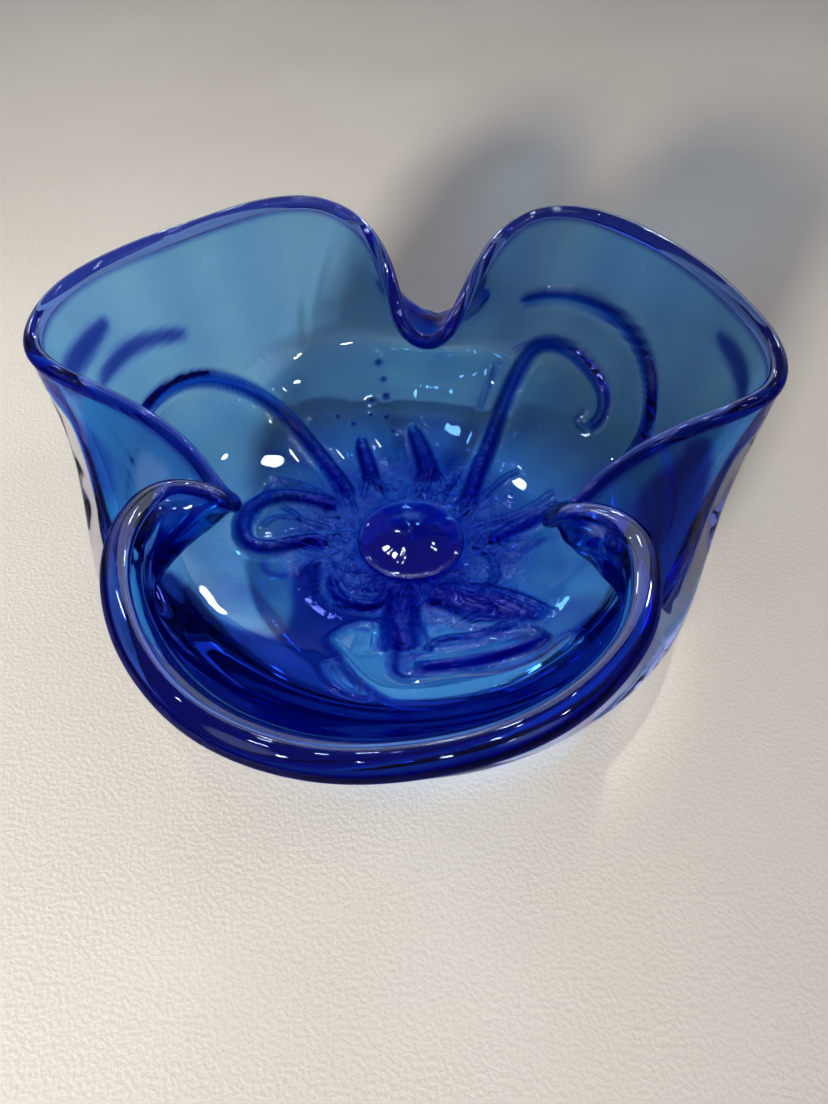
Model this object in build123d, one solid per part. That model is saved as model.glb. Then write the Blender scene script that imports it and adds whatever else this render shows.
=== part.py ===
from build123d import *
import math
import os

import numpy as np

# Three-lobed cased glass bowl. Millimetres, +Z up, front towards -Y, right towards +X.
# Origin: centre of the ground base, which lies in the plane z = 0.
# The glass is built in layers: a clear casing outside, the blue lining over it,
# a trail wrapped on the lip, a deeper blue button in the floor, cords on the
# inner surface, a clear punty pad in the base and a bead on the outside.

# ---------------------------------------------------------------- dimensions
# Body
BODY_FOOT_R = 46.0          # radius where the flat base starts to round up
BODY_WALL_R = 73.4          # mean radius of the wall where the lobes start
BODY_WALL_Z = 36.0          # height where the lobes start
BODY_GROW = 7.0             # how much the unpinched body would still widen
FOLD_EXP = 2.3              # how late the three folds come in, going up the wall
SIDE_SWELL = 6.0            # the body swells to one side by this much
SIDE_SWELL_DEG = 178.0      # direction of that swelling
OUT_SWELL_EXP = 1.5         # how late the swelling comes in on the outer profile
MID_SWELL_Z = 23.6          # height where it starts on the lower edge of the blue

# Wall: half thicknesses to either side of its middle surface
WALL_TOP_HALF = 1.8         # under the lip, both sides
WALL_LOW_OUT = 4.2          # outer half at the wall's foot
WALL_LOW_IN = 8.0           # inner half at the wall's foot
WALL_OUT_EXP = 1.3          # how fast the outer half thins going up
WALL_IN_EXP = 1.8           # how fast the inner half thins going up
LINING_TOP = 2.2            # blue layer just under the lip
LINING_LOW = 2.7            # blue layer low in the wall

# Lip trail and its seat; seat angles are from straight down the wall, outside positive
LIP_R = 2.1
SEAT_GAP = 0.03             # separation of two surfaces that are fused together
SEAT_DEG = 56.0             # half angle of the seat
SEAT_SPLIT_DEG = 14.0       # where the casing meets the lining
SEAT_CASING_DEGS = [42, 28]
SEAT_LINING_DEGS = [0, -20, -40]
LIP_STEP_DEG = 22.5         # spacing of the trail's lines around its section

# Floor, button, pad and bead
FLOOR_Z = 26.4              # inner floor at the button
BUTTON_R = 15.5
BUTTON_BED_Z = 20.5         # bottom of the button's hollow
BUTTON_TOP_Z = 28.4         # crown of the button
PAD_R = 21.0
PAD_HEIGHT = 4.0
BEAD_R = 2.5
BEAD_CENTRE = (-69.7, -32.3, 57.9)

# Profiles below the wall: radius, height.
OUT_PROFILE = [
    (BODY_FOOT_R, 0.0), (49.6, 0.35), (54.2, 1.7), (59.2, 5.0),
    (64.6, 10.8), (69.0, 17.8), (72.7, 25.6), (75.6, 32.6),
]
# Lower edge of the blue, from the button outwards.
MID_PROFILE = [
    (BUTTON_R, BUTTON_BED_Z), (17.6, 22.6), (22.0, 24.0), (30.0, 25.1), (38.8, 26.9),
    (47.6, 29.4), (55.0, 32.5), (61.6, 36.2), (67.0, 40.7),
]
# Inner surface of the bowl, from the button outwards.
IN_PROFILE = [
    (BUTTON_R, FLOOR_Z), (22.0, 26.8), (30.0, 27.8), (38.5, 29.6),
    (47.0, 32.2), (54.0, 35.4), (60.0, 39.1), (64.8, 43.0),
]
# Levels of the wall's rings: 0 where the lobes start, 1 at the lip.
WALL_STEPS_OUT = [0.10, 0.22, 0.34, 0.46, 0.58, 0.70, 0.81, 0.90]
WALL_STEPS_IN = [0.25, 0.36, 0.48, 0.60, 0.71, 0.82, 0.905]

# Centre line of the lip: distance along it, x, y, z, and the direction from
# the axis (degrees) of the part of the wall below it. It runs clockwise from above.
RIM_LENGTH = 682.69
RIM = [
    (0.0, 5.36, 33.54, 70.60, 82.4), (2.9, 8.05, 34.17, 71.32, 80.8),
    (6.1, 10.25, 36.06, 72.56, 79.1), (10.0, 12.23, 39.17, 73.95, 76.9),
    (17.3, 15.14, 45.44, 76.20, 72.9), (30.3, 20.30, 56.90, 79.60, 65.7),
    (43.5, 26.89, 67.92, 82.48, 58.4), (56.4, 37.24, 74.42, 85.20, 51.2),
    (69.4, 49.32, 70.93, 87.53, 44.0), (82.6, 58.55, 61.78, 89.09, 36.7),
    (95.8, 66.28, 51.16, 90.16, 29.4), (109.0, 72.99, 39.84, 90.78, 22.1),
    (122.1, 78.40, 27.83, 90.99, 14.8), (135.3, 82.57, 15.34, 90.86, 7.5),
    (148.5, 84.72, 2.38, 90.28, 0.2), (161.5, 81.16, -9.60, 89.17, -7.0),
    (174.6, 69.99, -15.89, 86.81, -14.2), (187.8, 57.94, -19.19, 82.82, -21.5),
    (200.7, 46.97, -23.13, 77.35, -28.6), (207.7, 41.59, -25.91, 73.74, -32.5),
    (211.7, 38.82, -27.73, 71.66, -34.6), (214.9, 36.31, -29.46, 70.55, -36.3),
    (218.0, 33.93, -31.30, 70.88, -37.9), (221.1, 32.26, -33.12, 72.65, -39.5),
    (224.2, 31.79, -34.82, 75.16, -41.1), (227.3, 32.69, -36.42, 77.68, -42.7),
    (230.7, 34.96, -37.95, 79.65, -44.4), (235.2, 38.91, -39.62, 80.93, -46.6),
    (245.0, 45.48, -46.34, 82.49, -51.3), (258.1, 46.00, -59.27, 83.99, -57.6),
    (271.3, 42.37, -71.76, 85.33, -63.9), (284.5, 34.98, -82.54, 86.56, -70.2),
    (297.6, 25.24, -91.30, 87.65, -76.5), (310.8, 13.57, -97.30, 88.48, -82.8),
    (324.0, 0.83, -100.49, 88.93, -89.1), (337.2, -12.31, -100.96, 88.98, -95.4),
    (350.3, -25.04, -97.76, 88.67, -101.7), (363.5, -36.38, -91.24, 88.00, -108.0),
    (376.7, -45.51, -81.82, 87.11, -114.3), (389.8, -52.31, -70.62, 86.06, -120.6),
    (403.0, -56.65, -58.26, 84.89, -126.9), (416.2, -57.55, -45.24, 83.56, -133.2),
    (429.2, -52.18, -33.93, 81.84, -139.5), (437.2, -44.68, -32.75, 80.29, -143.3),
    (441.2, -41.22, -32.69, 78.41, -145.3), (444.4, -39.80, -31.53, 75.85, -146.9),
    (447.5, -39.92, -29.68, 73.37, -148.5), (450.7, -41.02, -27.47, 71.44, -150.1),
    (453.8, -42.71, -25.07, 70.33, -151.7), (457.0, -44.70, -22.63, 70.32, -153.4),
    (460.3, -46.78, -20.26, 71.47, -155.2), (464.6, -49.31, -17.58, 73.57, -157.5),
    (473.4, -55.53, -12.91, 77.68, -162.3), (486.6, -66.49, -7.71, 82.72, -169.5),
    (499.7, -78.33, -3.29, 86.42, -176.8), (512.7, -88.21, 4.20, 88.63, -183.9),
    (525.8, -90.46, 16.93, 89.81, -191.1), (538.9, -86.58, 29.36, 90.64, -198.3),
    (552.1, -78.65, 39.80, 90.98, -205.6), (565.3, -69.12, 48.91, 90.89, -212.9),
    (578.5, -59.60, 58.01, 90.35, -220.1), (591.6, -50.24, 67.25, 89.37, -227.4),
    (604.8, -40.14, 75.54, 87.96, -234.6), (617.9, -28.09, 79.79, 85.92, -241.8),
    (630.9, -16.68, 74.91, 83.41, -249.0), (644.0, -9.77, 64.15, 80.85, -256.2),
    (657.2, -5.96, 51.89, 78.01, -263.5), (666.0, -4.14, 43.55, 75.78, -268.3),
    (670.3, -3.09, 39.63, 74.57, -270.7), (673.7, -1.78, 36.68, 73.50, -272.6),
    (676.8, 0.05, 34.42, 72.37, -274.3), (679.8, 2.55, 33.38, 71.21, -275.9),
]

# Cords half sunk into the inner wall and floor:
# x, y, z on the inner surface, the surface's normal there, cord radius.
CORDS = {
    "cord_back_left": [
        (-18.25, 15.99, 26.96, 0.090, -0.088, 0.992, 1.50),
        (-21.21, 21.23, 27.73, 0.102, -0.106, 0.989, 1.50),
        (-24.51, 26.18, 28.73, 0.127, -0.143, 0.981, 1.50),
        (-28.06, 30.92, 30.01, 0.155, -0.182, 0.971, 1.50),
        (-31.78, 35.51, 31.60, 0.187, -0.227, 0.956, 1.50),
        (-35.61, 39.92, 33.54, 0.221, -0.274, 0.936, 1.50),
        (-39.75, 43.65, 35.90, 0.282, -0.347, 0.894, 1.50),
        (-44.35, 46.15, 38.74, 0.368, -0.426, 0.827, 1.50),
        (-49.22, 47.13, 42.02, 0.480, -0.502, 0.720, 1.50),
        (-54.11, 46.52, 45.54, 0.582, -0.539, 0.609, 1.48),
        (-58.82, 44.51, 48.93, 0.669, -0.543, 0.509, 1.45),
        (-63.15, 41.29, 51.81, 0.746, -0.533, 0.399, 1.40),
        (-66.91, 37.06, 53.83, 0.806, -0.504, 0.311, 1.34),
        (-70.07, 32.08, 54.93, 0.838, -0.439, 0.325, 1.26),
        (-72.70, 26.59, 55.22, 0.867, -0.365, 0.341, 1.18),
        (-74.85, 20.88, 54.84, 0.879, -0.325, 0.348, 1.10),
    ],
    "cord_back_right": [
        (16.83, 12.00, 26.66, -0.077, -0.069, 0.995, 1.50),
        (18.44, 17.95, 27.21, -0.091, -0.093, 0.991, 1.50),
        (20.27, 23.68, 28.01, -0.114, -0.132, 0.985, 1.50),
        (22.23, 29.24, 29.12, -0.138, -0.180, 0.974, 1.50),
        (24.27, 34.70, 30.61, -0.167, -0.235, 0.958, 1.50),
        (26.33, 40.09, 32.53, -0.205, -0.302, 0.931, 1.50),
        (28.40, 45.36, 34.96, -0.251, -0.381, 0.890, 1.50),
        (30.58, 50.22, 37.95, -0.298, -0.461, 0.836, 1.50),
        (32.99, 54.38, 41.58, -0.359, -0.551, 0.753, 1.50),
        (35.77, 57.51, 45.90, -0.436, -0.657, 0.615, 1.50),
        (39.21, 58.84, 50.45, -0.511, -0.727, 0.459, 1.49),
        (43.91, 56.68, 53.16, -0.580, -0.740, 0.340, 1.47),
        (48.54, 52.78, 53.58, -0.645, -0.678, 0.352, 1.44),
        (52.44, 48.21, 52.49, -0.706, -0.616, 0.349, 1.40),
        (55.60, 43.11, 50.87, -0.720, -0.533, 0.445, 1.36),
        (57.39, 37.98, 48.52, -0.711, -0.456, 0.534, 1.31),
        (56.90, 33.57, 44.74, -0.660, -0.388, 0.643, 1.26),
        (53.22, 31.42, 40.31, -0.626, -0.359, 0.692, 1.20),
    ],
    "arc_back_right": [
        (33.13, 63.90, 63.19, -0.115, -0.976, 0.188, 1.10),
        (39.01, 63.82, 65.34, -0.225, -0.938, 0.265, 1.17),
        (44.51, 62.17, 66.84, -0.426, -0.834, 0.350, 1.23),
        (49.55, 59.22, 67.80, -0.588, -0.725, 0.359, 1.29),
        (54.06, 55.26, 68.32, -0.691, -0.637, 0.341, 1.33),
        (57.99, 50.55, 68.39, -0.755, -0.572, 0.321, 1.37),
        (61.30, 45.42, 67.85, -0.794, -0.523, 0.310, 1.39),
        (63.95, 40.14, 66.49, -0.822, -0.479, 0.307, 1.40),
        (65.90, 35.01, 64.13, -0.848, -0.430, 0.310, 1.39),
        (67.08, 30.24, 60.77, -0.869, -0.381, 0.315, 1.37),
        (67.39, 25.94, 56.64, -0.885, -0.337, 0.320, 1.33),
        (66.71, 22.20, 51.98, -0.862, -0.289, 0.417, 1.29),
        (64.97, 19.06, 47.11, -0.795, -0.235, 0.559, 1.23),
        (62.10, 16.33, 42.55, -0.692, -0.183, 0.698, 1.17),
        (58.07, 13.77, 38.89, -0.603, -0.149, 0.784, 1.10),
    ],
    "petal_left": [
        (-21.15, 11.90, 26.99, 0.098, -0.055, 0.994, 1.40),
        (-26.71, 13.57, 27.68, 0.128, -0.066, 0.990, 1.43),
        (-32.54, 14.71, 28.64, 0.168, -0.077, 0.983, 1.45),
        (-38.26, 14.09, 29.68, 0.203, -0.077, 0.976, 1.48),
        (-43.29, 11.13, 30.59, 0.233, -0.062, 0.971, 1.49),
        (-46.76, 6.35, 31.22, 0.254, -0.035, 0.967, 1.50),
        (-47.77, 0.41, 31.38, 0.260, -0.002, 0.966, 1.50),
        (-45.75, -4.82, 30.91, 0.247, 0.025, 0.969, 1.49),
        (-40.83, -5.89, 29.78, 0.214, 0.031, 0.976, 1.48),
        (-34.98, -3.78, 28.52, 0.181, 0.020, 0.983, 1.45),
        (-29.57, -1.79, 27.62, 0.140, 0.010, 0.990, 1.43),
        (-23.63, -2.36, 26.93, 0.109, 0.008, 0.994, 1.40),
    ],
    "rib_front": [
        (-1.78, -19.32, 26.61, 0.006, 0.069, 0.998, 1.50),
        (-2.25, -24.83, 27.08, 0.009, 0.109, 0.994, 1.85),
        (-2.73, -30.32, 27.84, 0.012, 0.161, 0.987, 2.00),
        (-2.94, -35.76, 28.87, 0.013, 0.211, 0.977, 2.06),
        (-2.59, -41.16, 30.16, 0.009, 0.246, 0.969, 2.20),
    ],
    "blade_front": [
        (3.71, -20.07, 26.68, -0.018, 0.074, 0.997, 1.30),
        (9.28, -21.46, 26.92, -0.040, 0.090, 0.995, 1.80),
        (14.85, -22.91, 27.39, -0.075, 0.114, 0.991, 2.17),
        (20.34, -24.53, 28.13, -0.117, 0.140, 0.983, 2.30),
        (25.67, -26.43, 29.18, -0.161, 0.164, 0.973, 2.14),
        (30.76, -28.72, 30.57, -0.206, 0.190, 0.960, 1.70),
        (35.52, -31.52, 32.35, -0.256, 0.226, 0.940, 1.10),
    ],
    "crescent_front": [
        (0.73, -47.43, 32.08, -0.025, 0.336, 0.942, 1.50),
        (6.69, -47.09, 32.18, -0.058, 0.335, 0.941, 1.50),
        (12.65, -46.41, 32.45, -0.103, 0.342, 0.934, 1.50),
        (18.55, -45.31, 32.84, -0.150, 0.343, 0.927, 1.50),
        (24.30, -43.68, 33.32, -0.199, 0.342, 0.919, 1.43),
        (29.83, -41.45, 33.85, -0.249, 0.335, 0.909, 1.25),
        (35.06, -38.54, 34.38, -0.288, 0.326, 0.900, 1.00),
    ],
    "strand_right": [
        (21.66, -2.15, 26.79, -0.090, 0.006, 0.996, 1.20),
        (27.11, 1.22, 27.37, -0.135, -0.006, 0.991, 1.41),
        (32.79, 4.04, 28.36, -0.195, -0.024, 0.980, 1.50),
        (38.47, 6.71, 29.74, -0.246, -0.043, 0.968, 1.40),
        (43.93, 9.62, 31.47, -0.303, -0.064, 0.951, 1.15),
    ],
    "swirl_front": [
        (-21.82, -14.41, 27.18, 0.097, 0.071, 0.993, 1.00),
        (-20.17, -20.97, 27.58, 0.095, 0.101, 0.990, 1.14),
        (-14.86, -24.79, 27.56, 0.070, 0.121, 0.990, 1.20),
        (-8.76, -23.75, 27.12, 0.037, 0.103, 0.994, 1.14),
        (-5.66, -17.50, 26.52, 0.020, 0.064, 0.998, 1.00),
    ],
    "leg_back_left": [
        (-12.18, 20.96, 27.00, 0.050, -0.093, 0.994, 1.70),
        (-12.51, 25.72, 27.52, 0.058, -0.125, 0.990, 1.56),
        (-13.64, 30.30, 28.28, 0.070, -0.166, 0.984, 1.50),
        (-14.96, 34.82, 29.23, 0.080, -0.202, 0.976, 1.32),
        (-15.82, 39.38, 30.33, 0.084, -0.230, 0.970, 0.90),
    ],
    "leg_back_right": [
        (5.55, 22.76, 26.93, -0.024, -0.101, 0.995, 2.10),
        (4.85, 28.27, 27.57, -0.026, -0.145, 0.989, 1.68),
        (3.61, 33.64, 28.47, -0.025, -0.195, 0.981, 1.50),
        (1.95, 38.87, 29.58, -0.018, -0.236, 0.972, 1.29),
        (-0.00, 43.94, 30.90, -0.010, -0.272, 0.962, 0.80),
    ],
}
CORD_SINK = 0.15            # the cord's centre stands this share of its radius proud
CORD_SPACING = 4.0          # rough distance between a cord's sections
# Rounding of a cord's end: distance from the end in end radii, share of the radius.
CORD_END = [(0.0, 0.30), (0.12, 0.55), (0.40, 0.82), (1.0, 1.0)]


# ---------------------------------------------------------- rim and wall maths
RIM_DIST = np.array([row[0] for row in RIM])
RIM_XYZ = np.array([row[1:4] for row in RIM])
RIM_ANGLE = np.radians([row[4] for row in RIM])


def periodic_spline(values, dist):
    """Periodic cubic spline through values at RIM_DIST, read at dist."""
    count = len(RIM_DIST)
    gaps = np.diff(np.r_[RIM_DIST, RIM_LENGTH])
    gaps_before = np.roll(gaps, 1)
    matrix = np.zeros((count, count))
    for i in range(count):
        matrix[i, i] = 2 * (gaps[i] + gaps_before[i])
        matrix[i, (i + 1) % count] += gaps[i]
        matrix[i, (i - 1) % count] += gaps_before[i]
    slopes = (np.roll(values, -1, 0) - values) / gaps[:, None]
    bends = np.linalg.solve(matrix, 6 * (slopes - np.roll(slopes, 1, 0)))

    dist = np.mod(dist, RIM_LENGTH)
    i = np.clip(np.searchsorted(RIM_DIST, dist, side="right") - 1, 0, count - 1)
    j = (i + 1) % count
    step = (dist - RIM_DIST[i])[:, None]
    gap = gaps[i][:, None]
    slope = (values[j] - values[i]) / gap - gap * (2 * bends[i] + bends[j]) / 6
    cubic = (bends[j] - bends[i]) / (6 * gap)
    return values[i] + step * slope + step * step * bends[i] / 2 + step ** 3 * cubic


def rim_at(dist):
    """Lip centre and direction from the axis; the even turn is splined apart."""
    turn = 2 * math.pi / RIM_LENGTH
    uneven = periodic_spline((RIM_ANGLE + turn * RIM_DIST)[:, None], dist)[:, 0]
    return periodic_spline(RIM_XYZ, dist), uneven - turn * dist


def swell(angle, share):
    lobe = (1 + np.cos(angle - math.radians(SIDE_SWELL_DEG))) / 2
    return SIDE_SWELL * share * lobe ** 2


def wall(dist, level):
    """Middle of the wall: round at level 0, the three-lobed lip at level 1."""
    rim, angle = rim_at(dist)
    fold = level ** FOLD_EXP
    radius = BODY_WALL_R + BODY_GROW * level + swell(angle, 1.0)
    points = np.empty_like(rim)
    points[:, 0] = (1 - fold) * radius * np.cos(angle) + fold * rim[:, 0]
    points[:, 1] = (1 - fold) * radius * np.sin(angle) + fold * rim[:, 1]
    points[:, 2] = BODY_WALL_Z + (rim[:, 2] - BODY_WALL_Z) * level
    return points


def wall_frame(level):
    """Points of the wall, outward normals and up-the-wall directions."""
    along = wall(RIM_DIST + 0.05, level) - wall(RIM_DIST - 0.05, level)
    rise = wall(RIM_DIST, level + 1e-3) - wall(RIM_DIST, level - 1e-3)
    along /= np.linalg.norm(along, axis=1)[:, None]
    normal = np.cross(rise, along)
    normal /= np.linalg.norm(normal, axis=1)[:, None]
    return wall(RIM_DIST, level), normal, np.cross(along, normal)


def out_half(level):
    return WALL_TOP_HALF + (WALL_LOW_OUT - WALL_TOP_HALF) * (1 - level) ** WALL_OUT_EXP


def in_half(level):
    return WALL_TOP_HALF + (WALL_LOW_IN - WALL_TOP_HALF) * (1 - level) ** WALL_IN_EXP


def lining_thickness(level):
    return LINING_TOP + (LINING_LOW - LINING_TOP) * (1 - level)


# ---------------------------------------------------------------------- rings
def closed_wire(points):
    """Closed spline; all rings share the rim's parameters so that lofts line up."""
    points = [tuple(map(float, point)) for point in points]
    parameters = [float(dist) for dist in RIM_DIST] + [RIM_LENGTH]
    return Wire([Edge.make_spline(points, periodic=True, parameters=parameters)])


def level_ring(radius, z, share):
    """Horizontal ring with a share of the side swelling."""
    _, angle = rim_at(RIM_DIST)
    radii = radius + swell(angle, share)
    return closed_wire(np.c_[radii * np.cos(angle), radii * np.sin(angle), np.full(len(RIM), z)])


def wall_ring(level, offset):
    """Ring in the wall, offset outwards from its middle."""
    points, normal, _ = wall_frame(level)
    return closed_wire(points + normal * offset)


def lip_ring(degrees, radius=LIP_R):
    """Line around the lip's centre line, at an angle from straight down the wall."""
    points, normal, up = wall_frame(1.0)
    down_share, out_share = math.cos(math.radians(degrees)), math.sin(math.radians(degrees))
    return closed_wire(points + radius * (out_share * normal - down_share * up))


def seat_ring(degrees):
    return lip_ring(degrees, LIP_R + SEAT_GAP)


# --------------------------------------------------------------------- pieces
def make_layers():
    """Clear casing and blue lining, built on the surface between them."""
    seat_out = seat_ring(SEAT_DEG)
    seat_mid = seat_ring(SEAT_SPLIT_DEG)
    seat_in = seat_ring(-SEAT_DEG)
    swell_rise = BODY_WALL_Z - FLOOR_Z

    out_wires = [level_ring(r, z, (z / BODY_WALL_Z) ** OUT_SWELL_EXP) for r, z in OUT_PROFILE]
    out_wires += [wall_ring(level, out_half(level)) for level in WALL_STEPS_OUT]
    out_wires.append(seat_out)

    mid_wires = [
        level_ring(r, z, min(1.0, max(0.0, (z - MID_SWELL_Z) / swell_rise)))
        for r, z in MID_PROFILE
    ]
    mid_wires += [
        wall_ring(level, lining_thickness(level) - in_half(level)) for level in WALL_STEPS_IN
    ]
    mid_wires.append(seat_mid)

    in_wires = [level_ring(r, z, min(1.0, (z - FLOOR_Z) / swell_rise)) for r, z in IN_PROFILE]
    in_wires += [wall_ring(level, -in_half(level)) for level in WALL_STEPS_IN]
    in_wires.append(seat_in)

    outer = Shell.make_loft(out_wires)
    between = Shell.make_loft(mid_wires)
    inner = Shell.make_loft(in_wires)
    casing_seat = Shell.make_loft([seat_out, *map(seat_ring, SEAT_CASING_DEGS), seat_mid])
    lining_seat = Shell.make_loft([seat_mid, *map(seat_ring, SEAT_LINING_DEGS), seat_in])
    bed = Face(mid_wires[0])
    base = Face(out_wires[0])
    well = Shell.make_loft([mid_wires[0], in_wires[0]], ruled=True)

    casing = Solid(Shell(outer.faces() + casing_seat.faces() + between.faces() + [bed, base]))
    lining = Solid(Shell(between.faces() + lining_seat.faces() + inner.faces() + well.faces()))
    return casing, lining


def make_lip():
    """Round trail on the lip, skinned in two halves along its length."""
    low, high = lip_ring(0), lip_ring(180)
    faces = []
    for side in (1, -1):
        rings = [lip_ring(side * LIP_STEP_DEG * i) for i in range(1, 8)]
        faces += Shell.make_loft([low] + rings + [high]).faces()
    return Solid(Shell(faces))


def make_button():
    """Thick crowned drop in the middle of the floor."""
    radius = BUTTON_R - SEAT_GAP
    bottom = BUTTON_BED_Z + SEAT_GAP
    crown = [
        (radius, 0, FLOOR_Z),
        (radius * 0.8, 0, FLOOR_Z + 1.15),
        (radius * 0.45, 0, BUTTON_TOP_Z - 0.25),
        (0, 0, BUTTON_TOP_Z),
    ]
    profile = Wire([
        Edge.make_line((0, 0, bottom), (radius, 0, bottom)),
        Edge.make_line((radius, 0, bottom), crown[0]),
        Edge.make_spline(crown, tangents=[(-0.5, 0, 0.86), (-1, 0, 0)]),
        Edge.make_line(crown[-1], (0, 0, bottom)),
    ])
    return Solid.revolve(Face(profile), 360, Axis.Z)


def make_cord(rows):
    """Round cord with tapered, closed ends."""
    rows = np.array(rows)
    normals, radii = rows[:, 3:6], rows[:, 6]
    centres = rows[:, :3] + normals * (radii * CORD_SINK)[:, None]
    path = Edge.make_spline([tuple(map(float, point)) for point in centres])
    dist = np.r_[0, np.cumsum(np.linalg.norm(np.diff(centres, axis=0), axis=1))]
    total = dist[-1]

    # Stations: share of the length, share of the radius.
    head, tail = float(radii[0]), float(radii[-1])
    start, end = head / total, 1 - tail / total
    spans = int(max(3, round(total / CORD_SPACING)))
    stations = [(reach * head / total, share) for reach, share in CORD_END]
    stations += [(start + (end - start) * i / spans, 1.0) for i in range(1, spans)]
    stations += [(1 - reach * tail / total, share) for reach, share in reversed(CORD_END)]

    wires = []
    for place, share in stations:
        radius = np.interp(place * total, dist, radii) * share
        normal = np.array([np.interp(place * total, dist, normals[:, i]) for i in range(3)])
        tangent = path % place
        axis = np.array(tuple(tangent))
        across = tuple(map(float, normal - np.dot(normal, axis) * axis))
        plane = Plane(origin=path @ place, x_dir=across, z_dir=tangent)
        wires.append(Wire([Edge.make_circle(radius, plane)]))
    return Solid.make_loft(wires)


# ------------------------------------------------------------ fit and export
casing, lining = make_layers()
bead = Solid.make_sphere(BEAD_R, Plane(origin=BEAD_CENTRE))
cords = {name: make_cord(rows) for name, rows in CORDS.items()}

# The pad, bead and cords are let into the layers.
casing = (casing - Solid.make_cylinder(PAD_R + SEAT_GAP, PAD_HEIGHT + SEAT_GAP)).solids()[0]
casing = (casing - bead).solids()[0]
for cord in cords.values():
    lining = (lining - cord).solids()[0]

pieces = {
    "clear_casing": casing,
    "blue_lining": lining,
    "lip_wrap": make_lip(),
    "bottom_button": make_button(),
    "punty_pad": Solid.make_cylinder(PAD_R, PAD_HEIGHT),
    "notch_bead": bead,
    **cords,
}
os.makedirs("parts", exist_ok=True)
for name, piece in pieces.items():
    export_step(piece, os.path.join("parts", name + ".step"))
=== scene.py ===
"""A folded bowl of clear glass, lined with blue and trailed with cobalt.

The bowl stands on the floor about the Z axis; its front is towards -Y and its left is -X.
Shapes are worked out in millimetres and scaled to metres when a mesh is made.
The lip runs clockwise seen from above, and every wall ring has one point per lip station.
"""
import math

import bpy
import numpy as np
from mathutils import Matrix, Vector


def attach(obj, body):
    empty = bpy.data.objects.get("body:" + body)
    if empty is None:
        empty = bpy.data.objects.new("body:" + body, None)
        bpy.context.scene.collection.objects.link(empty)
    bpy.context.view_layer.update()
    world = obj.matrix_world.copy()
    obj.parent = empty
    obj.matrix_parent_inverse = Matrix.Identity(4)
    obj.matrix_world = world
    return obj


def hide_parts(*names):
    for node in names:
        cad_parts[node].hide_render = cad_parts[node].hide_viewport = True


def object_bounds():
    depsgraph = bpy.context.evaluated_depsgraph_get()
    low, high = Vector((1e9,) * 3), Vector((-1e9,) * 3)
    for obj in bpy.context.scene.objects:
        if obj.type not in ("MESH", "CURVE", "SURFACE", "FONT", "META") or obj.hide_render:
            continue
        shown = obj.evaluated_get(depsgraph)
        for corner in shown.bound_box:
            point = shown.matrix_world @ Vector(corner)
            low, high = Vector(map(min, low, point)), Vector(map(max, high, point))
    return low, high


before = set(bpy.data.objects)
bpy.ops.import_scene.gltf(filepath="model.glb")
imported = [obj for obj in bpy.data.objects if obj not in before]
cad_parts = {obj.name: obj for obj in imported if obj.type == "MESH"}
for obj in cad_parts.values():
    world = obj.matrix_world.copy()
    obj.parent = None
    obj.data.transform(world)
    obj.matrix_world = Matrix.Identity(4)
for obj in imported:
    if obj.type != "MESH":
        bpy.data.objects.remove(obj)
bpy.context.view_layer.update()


def table(text, columns):
    """Rows of numbers, parted by commas, as an array."""
    return np.array(text.replace(",", " ").split(), float).reshape(-1, columns)


# ------------------------------------------------------------ sizes, in mm
MM = 0.001
WALL_R, WALL_Z = 73.4, 36.0            # foot of the wall
WALL_GROW, FOLD_POWER = 7.0, 2.3       # how the wall widens and takes up the lip's folds
SIDE_SWELL, SIDE_SWELL_DEG = 6.0, 178.0
WALL_TOP_HALF, WALL_LOW_OUT, WALL_LOW_IN = 1.8, 4.2, 8.0   # from the wall's middle to a face
LINING_TOP, LINING_LOW = 2.2, 2.7      # thickness at the lip and at the foot of the wall
LIP_R = 2.1
SEAT_GAP = 0.03                        # between pieces that touch
SEAT_R = LIP_R + SEAT_GAP
SEAT_DEG, SEAT_MID_DEG = 56.0, 14.0    # edges of the lip's seat, and where the two glasses meet
LINING_GAP = 0.012                     # between casing and lining
FLOOR_Z = 26.4                         # the hollow's floor
BUTTON_R, BUTTON_BED_Z, BUTTON_TOP_Z = 15.5, 20.5, FLOOR_Z + 2.0
PAD_R, PAD_Z = 21.0, 4.0
BEAD_R, BEAD_AT = 2.5, np.array((-69.7, -32.3, 57.9))
FOOT_RADII = (27, 33, 39, 43)          # rings of the flat underside
MID_SWELL_Z = 23.6                     # where the face between the glasses starts to swell

# Sections below the wall, as (radius, z).
OUTER_PROFILE = [(46.0, 0.0), (49.6, 0.35), (54.2, 1.7), (59.2, 5.0), (64.6, 10.8),
                 (69.0, 17.8), (72.7, 25.6), (75.6, 32.6)]
MID_PROFILE = [(BUTTON_R, BUTTON_BED_Z), (17.6, 22.6), (22.0, 24.0), (30.0, 25.1), (38.8, 26.9),
               (47.6, 29.4), (55.0, 32.5), (61.6, 36.2), (67.0, 40.7)]
INNER_PROFILE = [(BUTTON_R, FLOOR_Z), (22.0, 26.8), (30.0, 27.8), (38.5, 29.6), (47.0, 32.2),
                 (54.0, 35.4), (60.0, 39.1), (64.8, 43.0)]
# Heights of the key rings up the wall: 0 at its foot, 1 at the lip.
OUTER_HEIGHTS = [0.10, 0.22, 0.34, 0.46, 0.58, 0.70, 0.81, 0.90]
INNER_HEIGHTS = [0.25, 0.36, 0.48, 0.60, 0.71, 0.82, 0.905]

STATIONS = 540                         # points in each ring
OUTER_ROWS, MID_ROWS, INNER_ROWS = 84, 20, 156

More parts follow.
